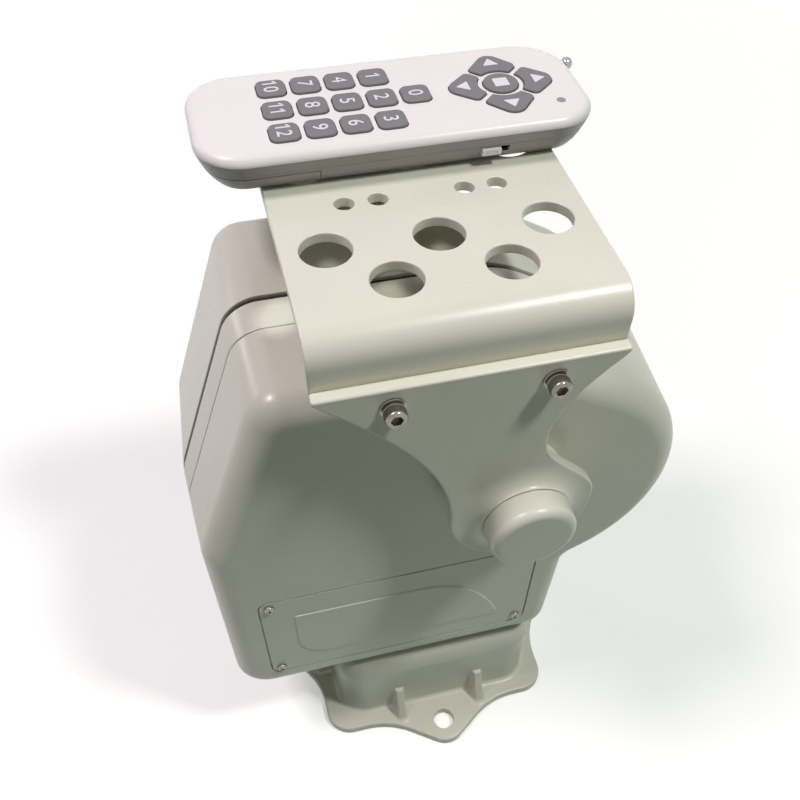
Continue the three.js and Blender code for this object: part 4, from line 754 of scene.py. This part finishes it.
def arm_outline():
    """The arm's edge about the tilt axis: round lobe, waist and flare up to the platform."""
    points = arc((0, 0), ARM_LOBE, math.pi, 2 * math.pi + ARM_LOBE_TURN, 64)
    centre = (ARM_WAIST_EDGE + ARM_WAIST_RADIUS, ARM_WAIST_LEVEL)
    waist = arc(centre, ARM_WAIST_RADIUS, math.pi + ARM_WAIST_TURN, math.pi, 8)
    lobe_way = Vector((-math.sin(ARM_LOBE_TURN), math.cos(ARM_LOBE_TURN))) * ARM_LOBE_LEAD
    waist_way = Vector((math.sin(ARM_WAIST_TURN), -math.cos(ARM_WAIST_TURN))) * ARM_WAIST_LEAD
    points += cubic(points[-1], points[-1] + lobe_way, waist[0] + waist_way, waist[0], 20)
    points += waist[1:]
    points += quadratic(waist[-1], (ARM_WAIST_EDGE, ARM_FLARE_LEVEL), (ARM_RIGHT, ARM_END), 24)[:-1]
    left, right = ARM_LEFT + ARM_CORNER, ARM_RIGHT - ARM_CORNER
    low, high = ARM_END + ARM_CORNER, ARM_TOP - ARM_CORNER
    for centre, start, end, steps in (((right, low), -0.25, 0, 3), ((right, high), 0, 0.5, 4),
                                      ((left, high), 0.5, 1, 4), ((left, low), 1, 1.25, 3)):
        points += arc(centre, ARM_CORNER, start * math.pi, end * math.pi, steps)
    points += quadratic((ARM_LEFT, ARM_END), (-ARM_LOBE, ARM_END / 2), (-ARM_LOBE, 0), 30)[1:-1]
    return [Vector((p.x + TILT_X, p.y + TILT_Z)) for p in points]


def screw_hole_mouths():
    return [circle(ARM_SCREW_HOLE, 32, (PLATFORM_X + side * SCREW_REACH, SCREW_Z)) for side in (-1, 1)]


def arm_boss(form, place):
    """The round boss on an arm, which flares out of the lobe and ends inside its edge."""
    top = ARM_OUTSIDE + BOSS_RISE
    flare = [(BOSS_RADIUS + BOSS_FLARE * (1 - math.sin(t)), ARM_OUTSIDE + BOSS_RISE * (1 - math.cos(t)))
             for t in quarter_turns(12)]
    profile = [(0, HUB_FOOT), (HUB_RADIUS, HUB_FOOT), (HUB_RADIUS, HUB_TOP), (flare[0][0], BOSS_FOOT)]
    profile += flare[:-1] + [(BOSS_RADIUS, top - BOSS_EDGE), (BOSS_RADIUS - BOSS_EDGE, top), (0, top)]
    boss = moved(turned("boss", profile, 96, place), TILT_X, 0, TILT_Z)
    lobe = [p for p in offset(form, ARM_EDGE) if p.y < BOSS_LIMIT]
    return combine(boss, "INTERSECT", prism("lobe", lobe, *ARM_CUT, place=place))


def arm(name, place, node):
    form = arm_outline()
    rings = [(offset(form, ARM_BACK_EDGE), ARM_INSIDE), (form, ARM_INSIDE + ARM_BACK_EDGE)]
    rings += [(offset(form, i), ARM_OUTSIDE - f) for i, f in round_over(ARM_EDGE, 5)]
    made = fuse(solid(name, rings, place=place), arm_boss(form, place))
    carve(made, prism("bore", circle(ARM_BORE, 48, (TILT_X, TILT_Z)), *ARM_CUT, place=place))
    for mouth in screw_hole_mouths():
        carve(made, prism("hole", mouth, *ARM_CUT, place=place))
    return coated(made, "cradle", node)


def hub_cap(name, place, node):
    top, bore = CAP_FOOT + CAP_LENGTH, CAP_RADIUS - CAP_WALL
    profile = [(0, top - CAP_WALL), (CAP_RADIUS - CAP_EDGE, top - CAP_WALL), (bore, top - CAP_EDGE),
               (bore, CAP_FOOT), (CAP_RADIUS - CAP_FOOT_EDGE, CAP_FOOT), (CAP_RADIUS, CAP_FOOT + CAP_FOOT_EDGE)]
    profile += [(CAP_RADIUS - i, top - f) for i, f in round_over(CAP_EDGE, 10)] + [(0, top)]
    return coated(moved(turned(name, profile, 96, place), TILT_X, 0, TILT_Z), "cradle", node)


def screw_head():
    """Shank and knurled head with a hexagon socket."""
    grip = []
    for k in range(2 * GRIP_TEETH):
        radius, turn = GRIP_RADIUS + GRIP_DEPTH * (-1) ** k, math.pi * k / GRIP_TEETH
        grip.append(Vector((radius * math.cos(turn), radius * math.sin(turn))))
    rings = [(circle(radius, 2 * GRIP_TEETH), level) for radius, level in SHANK_AND_FOOT]
    rings += [(grip, level) for level in GRIP_LEVELS]
    rings += [(circle(radius, 2 * GRIP_TEETH), level) for radius, level in HEAD_CROWN]
    return carve(solid("head", rings), prism("socket", circle(SOCKET_RADIUS, 6), *SOCKET_CUT))


def arm_screw(name, x, place, node):
    """Socket cap screw on a split spring washer and a flat washer."""
    flat = turned("flat", FLAT_WASHER, 56)
    split = prism("split", outline(rectangle(SPLIT_SIZE)), *SPLIT_CUT)
    moved(split, SPLIT_REACH, turn=Matrix.Rotation(SPLIT_TILT, 4, "X"))
    spring = carve(turned("spring", SPRING_WASHER, 56), split)
    screw = gather(screw_head(), flat, spring)
    screw.name = name
    moved(moved(screw, z=ARM_SCREW_LIFT), x, 0, SCREW_Z, place)
    return dress(screw, "cradle", STAINLESS, "stainless", node)


def platform_sheet():
    """The bent sheet, drawn across the head and stood along X."""
    inside, under = LEG_OUTSIDE - SHEET, PLATFORM_TOP - SHEET
    bend = [corner(-LEG_OUTSIDE, LEG_END), corner(-inside, LEG_END),
            corner(-inside, under, BEND_RADIUS - SHEET, 10), corner(inside, under, BEND_RADIUS - SHEET, 10),
            corner(inside, LEG_END), corner(LEG_OUTSIDE, LEG_END),
            corner(LEG_OUTSIDE, PLATFORM_TOP, BEND_RADIUS, 14),
            corner(-LEG_OUTSIDE, PLATFORM_TOP, BEND_RADIUS, 14)]
    edge = round_over(SHEET_EDGE, 4)
    rings = [(outline(bend, i), f - PLATFORM_HALF) for i, f in reversed(edge)]
    rings += [(outline(bend, i), PLATFORM_HALF - f) for i, f in edge]
    stand = Matrix(((0, 0, 1, PLATFORM_X), (1, 0, 0, 0), (0, 1, 0, 0), (0, 0, 0, 1)))
    return solid("platform_sheet", rings, place=stand)


def leg_wedge(side):
    """Cuts the lower corner off both legs at one end of the platform."""
    far, foot = PLATFORM_HALF + OVERRUN, LEG_END - OVERRUN
    near, top = PLATFORM_HALF - LEG_TAPER[0], LEG_END + LEG_TAPER[1]
    way = [(far, foot), (near, foot), (near, LEG_END), (PLATFORM_HALF, top), (far, top)]
    wedge = [Vector((PLATFORM_X + side * x, z)) for x, z in way]
    return prism("wedge", wedge if side < 0 else wedge[::-1], *WHOLE_CUT, place=FRONT)


def platform_holes():
    """(x, y, radius) of the sheet's large and small holes."""
    places = []
    for side in (-1, 1):
        for row, stations in HOLE_ROWS:
            places += [(PLATFORM_X + x, side * row, HOLE_RADIUS) for x in stations]
        places += [(PLATFORM_X + side * x, 0, SMALL_HOLE_RADIUS) for x in SMALL_HOLE_REACHES]
    return places


def platform():
    made = platform_sheet()
    for side in (-1, 1):
        carve(made, leg_wedge(side))
    under = PLATFORM_TOP - SHEET
    for x, y, radius in platform_holes():
        mouth = circle(radius, 64, (x, y))
        rings = [(offset(mouth, -outset), under + rise) for outset, rise in HOLE_UNDERSIDE]
        rings += [(mouth, under + HOLE_NECK)] + mouth_rings(mouth, PLATFORM_TOP, HOLE_MOUTH, 4)
        rings += [(offset(mouth, -HOLE_MOUTH), PLATFORM_TOP + MOUTH_OVERRUN)]
        carve(made, solid("hole", rings))
    for mouth in screw_hole_mouths():
        carve(made, prism("fixing", mouth, *WHOLE_CUT, place=FRONT))
    return coated(made, "cradle", "platform")


# Handset


def smooth_side():
    """HANDSET_SIDE as a dense line of (inset, level) points, on a curve through its knots."""
    knots = [Vector((inset, level)) for level, inset in HANDSET_SIDE]
    run = [knots[0] + SIDE_LEAD_IN] + knots + [knots[-1] + SIDE_LEAD_OUT]
    points = []
    for a, b, c, d in zip(run, run[1:], run[2:], run[3:]):
        for t in [k / SIDE_STEPS for k in range(SIDE_STEPS)]:
            points.append(0.5 * ((2 * b) + (c - a) * t + (2 * a - 5 * b + 4 * c - d) * t ** 2
                                 + (3 * b - a - 3 * c + d) * t ** 3))
    return points + [knots[-1]]


SIDE_LINE = smooth_side()


def side_inset(level):
    for p, q in zip(SIDE_LINE, SIDE_LINE[1:]):
        if p.y <= level <= q.y:
            return p.x + (q.x - p.x) * (level - p.y) / max(q.y - p.y, 1e-6)
    return SIDE_LINE[-1].x if level > SIDE_LINE[-1].y else SIDE_LINE[0].x


def side_curve(low, high, wall=0.0):
    """(inset, level) pairs of the handset's side between two levels, wall inside it."""
    between = [(p.x + wall, p.y) for p in SIDE_LINE if low + SIDE_CLEAR_LOW < p.y < high - SIDE_CLEAR_HIGH]
    return [(side_inset(low) + wall, low)] + between + [(side_inset(high) + wall, high)]


def case_rings(pairs):
    """Rings of the handset's outline seen from above, for (inset, level) pairs."""
    x, y = HANDSET_LENGTH / 2, HANDSET_WIDTH / 2
    case = [corner(-x, -y, TAIL_RADIUS, 12), corner(HANDSET_NOSE, -y, NOSE_RADIUS, 14),
            corner(HANDSET_NOSE, y, NOSE_REAR_RADIUS, 16), corner(-x, y, TAIL_RADIUS, 12)]
    return [(outline(case, inset), level) for inset, level in pairs]


def number_places():
    x, y = KEYPAD_AT
    places = [(digit, x + column * KEY_PITCH[0], y + (1 - line) * KEY_PITCH[1])
              for line, row in enumerate(KEY_ROWS) for column, digit in enumerate(row)]
    return places + [(0, x + 4 * KEY_PITCH[0], y)]


def key_form(grow=0.0):
    return outline(rectangle(KEY_SIZE, KEY_CORNER, 8), -grow)


def nav_form(grow=0.0):
    """An arrow key: a rounded nose outwards, and an edge that follows the stop key."""
    bite = STOP_RADIUS + NAV_GAP
    side = NAV_REACH / 2 - NAV_GAP / math.sqrt(2)
    lean = math.pi / 4 - NAV_GAP / (2 * bite)

    def on_bite(share, *rounding):
        return corner(-bite * math.sin(lean * share), bite * math.cos(lean * share), *rounding)

    corners = [corner(side, NAV_REACH / 2, NAV_SIDE_RADIUS, 6), corner(0, NAV_REACH, NAV_NOSE_RADIUS, 8),
               corner(-side, NAV_REACH / 2, NAV_SIDE_RADIUS, 6), on_bite(1, NAV_BITE_RADIUS, 4)]
    corners += [on_bite(k / 8) for k in range(6, -7, -1)] + [on_bite(-1, NAV_BITE_RADIUS, 4)]
    return offset(outline(corners), -grow)


def stop_form(grow=0.0):
    return circle(STOP_RADIUS + grow, 64)


def to_handset(obj, x=0.0, y=0.0, turn=0.0):
    spin = Matrix.Rotation(turn, 4, "Z")
    return moved(obj, HANDSET_AT[0] + x, HANDSET_AT[1] + y, HANDSET_AT[2], spin)


def along_antenna(obj):
    """Lays a form that is drawn along Z on the antenna's axis."""
    return moved(obj, 0, ANTENNA_Y, ANTENNA_Z, Matrix.Rotation(QUARTER, 4, "Y"))


def key_hole(form, x, y, turn=0.0):
    mouth, (low, high) = form(KEY_GAP), KEY_CUT
    rings = [(mouth, low)] + mouth_rings(mouth, HANDSET_HEIGHT, KEY_MOUTH, 3)
    rings += [(offset(mouth, -KEY_MOUTH), high)]
    return moved(solid("hole", rings), x, y, 0, Matrix.Rotation(turn, 4, "Z"))


def upper_shell():
    foot = PARTING + PARTING_GAP / 2
    inner = side_curve(foot, HANDSET_HEIGHT - HANDSET_WALL, HANDSET_WALL)
    outer = side_curve(foot + PARTING_DROP, HANDSET_HEIGHT)
    rings = list(reversed(case_rings(inner))) + case_rings([(outer[0][0] + PARTING_INSET, foot)] + outer)
    made = solid("handset_top", rings)
    for _, x, y in number_places():
        carve(made, key_hole(key_form, x, y))
    for turn in range(4):
        carve(made, key_hole(nav_form, *NAV_AT, QUARTER * turn))
    carve(made, key_hole(stop_form, *NAV_AT))
    carve(made, prism("led", circle(LED_HOLE, 32, LED_AT), *LED_CUT))
    carve(made, along_antenna(prism("bore", circle(ANTENNA_BORE, 24), *ANTENNA_BORE_CUT)))
    return two_tone(dress(to_handset(made), "handset", WHITE, "handset_white", "handset_upper_shell"))


def two_tone(obj):
    """Greys the upper shell's side below its top edge: painted shade on the side."""
    obj.data.materials.append(SIDE_PAINTED_SHADE)
    level = (HANDSET_AT[2] + PAINTED_SHADE_LEVEL) * MM
    for face in obj.data.polygons:
        if (obj.matrix_world @ face.center).z < level:
            face.material_index = 1
    return obj


def door_block(gap):
    """The tail end of the lower shell, up to the door's edge and height."""
    reach = rectangle(DOOR_CUTTER, centre=(DOOR_END + gap - DOOR_CUTTER[0] / 2, 0))
    return prism("door", outline(reach), -OVERRUN, DOOR_HEIGHT + gap)


def lower_solid(name):
    top = PARTING - PARTING_GAP / 2
    (foot, _), *side = side_curve(0, top - PARTING_DROP)
    rings = case_rings([(foot + inset, level) for inset, level in LOWER_FOOT] + side)
    rings += case_rings([(side[-1][0] + PARTING_INSET, top), (LOWER_RIM, top)] + LOWER_INSIDE)
    return solid(name, rings)


def lower_shell():
    made = carve(lower_solid("handset_bottom"), door_block(DOOR_GAP))
    carve(made, prism("slot", outline(rectangle(SWITCH_SLOT, centre=SWITCH_SLOT_AT)), *SWITCH_SLOT_CUT))
    # The whole lower shell is grey, painted shade on the underside
    return dress(to_handset(made), "handset", SIDE_PAINTED_SHADE, "handset_white", "handset_lower_shell")


def battery_door():
    made = combine(lower_solid("handset_door"), "INTERSECT", door_block(0))
    # The door is grey too, painted shade on the underside
    return dress(to_handset(made), "battery_door", SIDE_PAINTED_SHADE, "handset_white", "battery_door")


def handset_board():
    foot = PARTING + SEAT_GAP / 2
    inset = side_inset(foot) + HANDSET_WALL + 2 * SEAT_GAP
    made = solid("board_handset", case_rings([(inset, foot), (inset, foot + HANDSET_BOARD)]))
    return dress(to_handset(made), "handset", BOARD, "board_green", "handset_board")


def key(name, form, x, y, turn=0.0):
    rings = [(form(), KEY_TOP - KEY_HEIGHT), (form(), KEY_TOP - KEY_EDGE)]
    rings += [(offset(form(), i), KEY_TOP - f) for i, f in round_over(KEY_EDGE, 5)[1:]]
    cap = to_handset(solid(f"cap_{name}", rings), x, y, turn)
    return dress(cap, f"key_{name}", KEY, "key_grey", f"key_{name}")


def mark(obj, name):
    """Sets a raised character or sign on its key."""
    return dress(obj, f"key_{name}", PRINT, "key_grey")


def digits_mesh(text):
    curve = bpy.data.curves.new("digits", "FONT")
    curve.body = text
    curve.size = DIGIT_SIZE * MM
    curve.offset = DIGIT_BOLDER * MM
    curve.extrude = DIGIT_HALF * MM
    curve.align_x = curve.align_y = "CENTER"
    made = placed("digits", curve)
    mesh = evaluated(made)
    bpy.data.objects.remove(made)
    return mesh


def lettering(text, x, y):
    """A key's number, raised from its top and read from the handset's long side."""
    mesh = digits_mesh(text)
    across, up = [v.co.x for v in mesh.vertices], [v.co.y for v in mesh.vertices]
    low, high = Vector((min(across), min(up), 0)), Vector((max(across), max(up), 0))
    made = placed(f"digits_{text}", mesh)
    if text.startswith("1"):
        edges = [low.x / MM] + ([high.x / MM - ONE_WIDTH] if text == "11" else [])
        made = gather(made, *[one_flag(edge, high.y / MM) for edge in edges])
    made.data.transform(Matrix.Rotation(-QUARTER, 4, "Z") @ Matrix.Translation(-(low + high) / 2))
    return to_handset(moved(made, x, y, KEY_TOP + DIGIT_LIFT))


def one_flag(edge, top):
    """The slanting stroke that runs down to the left from the head of a figure one."""
    return prism("flag", [Vector((edge + x, top + y)) for x, y in ONE_FLAG], -DIGIT_HALF, DIGIT_HALF)


def symbol(name, corners, turn=0.0):
    made = prism(name, outline(corners), KEY_TOP - SYMBOL_SUNK, KEY_TOP + SYMBOL_RISE)
    return to_handset(made, *NAV_AT, turn)


def number_keys():
    for digit, x, y in number_places():
        key(digit, key_form, x, y)
        mark(lettering(str(digit), x, y), digit)


def arrow_keys():
    arrow = [corner(x, y, SYMBOL_CORNER, 2)
             for x, y in ((-ARROW_HALF, ARROW_FOOT), (ARROW_HALF, ARROW_FOOT), (0, ARROW_TIP))]
    for turn, way in enumerate(("up", "left", "down", "right")):
        spin = QUARTER * turn
        key(way, nav_form, *NAV_AT, spin)
        mark(symbol(f"arrow_{way}", arrow, spin), way)


def stop_key():
    key("stop", stop_form, *NAV_AT)
    mark(symbol("square_stop", rectangle(SQUARE_SIZE, SYMBOL_CORNER, 2)), "stop")


def status_led():
    led = turned("led_lens", LED_LENS, 40)
    return dress(to_handset(led, *LED_AT), "handset", LENS, "lens", "status_led")


def side_switch():
    tab = rectangle(SWITCH_TAB, SWITCH_CORNER, 4)
    switch = solid("switch_tab", [(outline(tab, inset), level) for inset, level in SWITCH_FORM], place=FRONT)
    for x in GROOVE_PLACES:
        groove = outline(rectangle(GROOVE_SIZE, GROOVE_CORNER, 2, (x, 0)))
        carve(switch, prism("groove", groove, *GROOVE_CUT, place=FRONT))
    moved(switch, *SWITCH_AT)
    return dress(to_handset(switch), "side_switch", WHITE, "handset_white", "side_switch")


def antenna():
    turns = [math.pi * k / BALL_STEPS for k in range(BALL_START, BALL_STEPS)]
    ball = [(BALL_RADIUS * math.sin(t), BALL_AT - BALL_RADIUS * math.cos(t)) for t in turns]
    rod = along_antenna(turned("antenna_rod", ANTENNA_ROD + ball + [(0, BALL_AT + BALL_RADIUS)], 40))
    return dress(to_handset(rod), "antenna", CHROME, "chrome", "antenna")


# The pieces inside keep their solids and get a worked finish

INSIDE = {
    STEEL: ("pan_shaft", "pan_bearing", "tilt_shaft", "tilt_bearing_front", "tilt_bearing_rear",
            "pan_worm", "tilt_worm"),
    BRONZE: ("pan_worm_wheel", "tilt_worm_wheel"),
    MOTOR: ("pan_motor", "tilt_motor", "pan_gear_bracket", "tilt_gear_bracket"),
    BOARD: ("control_board",),
}


def inner_pieces():
    for paint, names in INSIDE.items():
        for name in names:
            node = frame["nodes"][name]
            node.data.materials.clear()
            node.data.materials.append(paint)


# Floor, light and camera


def lamp(name, direction, distance, size, share, colour):
    """An area lamp that lights a facing white surface to the given share of white."""
    data = bpy.data.lights.new(name, "AREA")
    data.size = size
    data.energy = share * math.pi ** 2 * distance ** 2
    data.color = colour
    obj = placed(name, data)
    way = Vector(direction).normalized()
    obj.location = LAMPS_AIM + way * distance
    obj.rotation_euler = way.to_track_quat("Z", "Y").to_euler()


def seen_or_reflected(tree):
    """1 for rays from the camera and for reflections of what it sees."""
    path = tree.nodes.new("ShaderNodeLightPath")
    total = path.outputs["Is Camera Ray"]
    for key in ("Is Glossy Ray", "Is Transmission Ray"):
        node = tree.nodes.new("ShaderNodeMath")
        node.operation = "MAXIMUM"
        tree.links.new(total, node.inputs[0])
        tree.links.new(path.outputs[key], node.inputs[1])
        total = node.outputs[0]
    return total


def outward(tree):
    """The floor's glow, which grows from the object to the far floor, where it is white."""
    place = tree.nodes.new("ShaderNodeTexCoord").outputs["Object"]
    length = tree.nodes.new("ShaderNodeVectorMath")
    length.operation = "LENGTH"
    tree.links.new(place, length.inputs[0])
    return stretch(tree, length.outputs["Value"], FLOOR_GLOW_SPAN, FLOOR_GLOW)


def floor():
    made = prism("floor", outline(rectangle(FLOOR_SIZE)), *FLOOR_LEVELS)
    paint = bpy.data.materials.new("floor_pale")
    paint.use_nodes = True
    tree = paint.node_tree
    shader = tree.nodes["Principled BSDF"]
    shader.inputs["Roughness"].default_value = 0.9
    shader.inputs["Specular IOR Level"].default_value = 0.0
    colour = blend(tree, seen_or_reflected(tree), FLOOR_BOUNCE, FLOOR_SEEN)
    glow = blend(tree, seen_or_reflected(tree), NO_LIGHT, WHITE_LIGHT)
    tree.links.new(colour, shader.inputs["Base Color"])
    tree.links.new(glow, shader.inputs["Emission Color"])
    tree.links.new(outward(tree), shader.inputs["Emission Strength"])
    made.data.materials.append(paint)


def world():
    made = bpy.data.worlds.new("studio")
    made.use_nodes = True
    tree = made.node_tree
    colour = blend(tree, seen_or_reflected(tree), WORLD_BOUNCE, WHITE_LIGHT)
    tree.links.new(colour, tree.nodes["Background"].inputs["Color"])
    bpy.context.scene.world = made


def camera():
    data = bpy.data.cameras.new("camera")
    data.sensor_width = CAMERA_SENSOR
    data.lens = CAMERA_LENS
    data.shift_x, data.shift_y = CAMERA_SHIFT
    data.clip_start = CAMERA_NEAR
    obj = placed("camera", data)
    obj.location = CAMERA_AT
    obj.rotation_euler = Euler([math.radians(a) for a in CAMERA_TURN])
    bpy.context.scene.camera = obj


camera()
floor()
world()
for settings in LAMPS:
    lamp(*settings)
bpy.context.scene.view_settings.view_transform = "Standard"
base_casting()
turntable()
rear_shell()
front_shell()
centre_frame()
gasket()
access_plate()
access_screws()
for side, place in (("front", FRONT), ("rear", REAR)):
    arm(f"side_arm_{side}", place, f"arm_{side}")
    hub_cap(f"cap_hub_{side}", place, f"hub_cap_{side}")
    for number, reach in enumerate((-SCREW_REACH, SCREW_REACH), 1):
        arm_screw(f"screw_{side}_{number}", PLATFORM_X + reach, place, f"arm_screw_{side}_{number}")
platform()
upper_shell()
lower_shell()
battery_door()
handset_board()
number_keys()
arrow_keys()
stop_key()
status_led()
side_switch()
antenna()
inner_pieces()
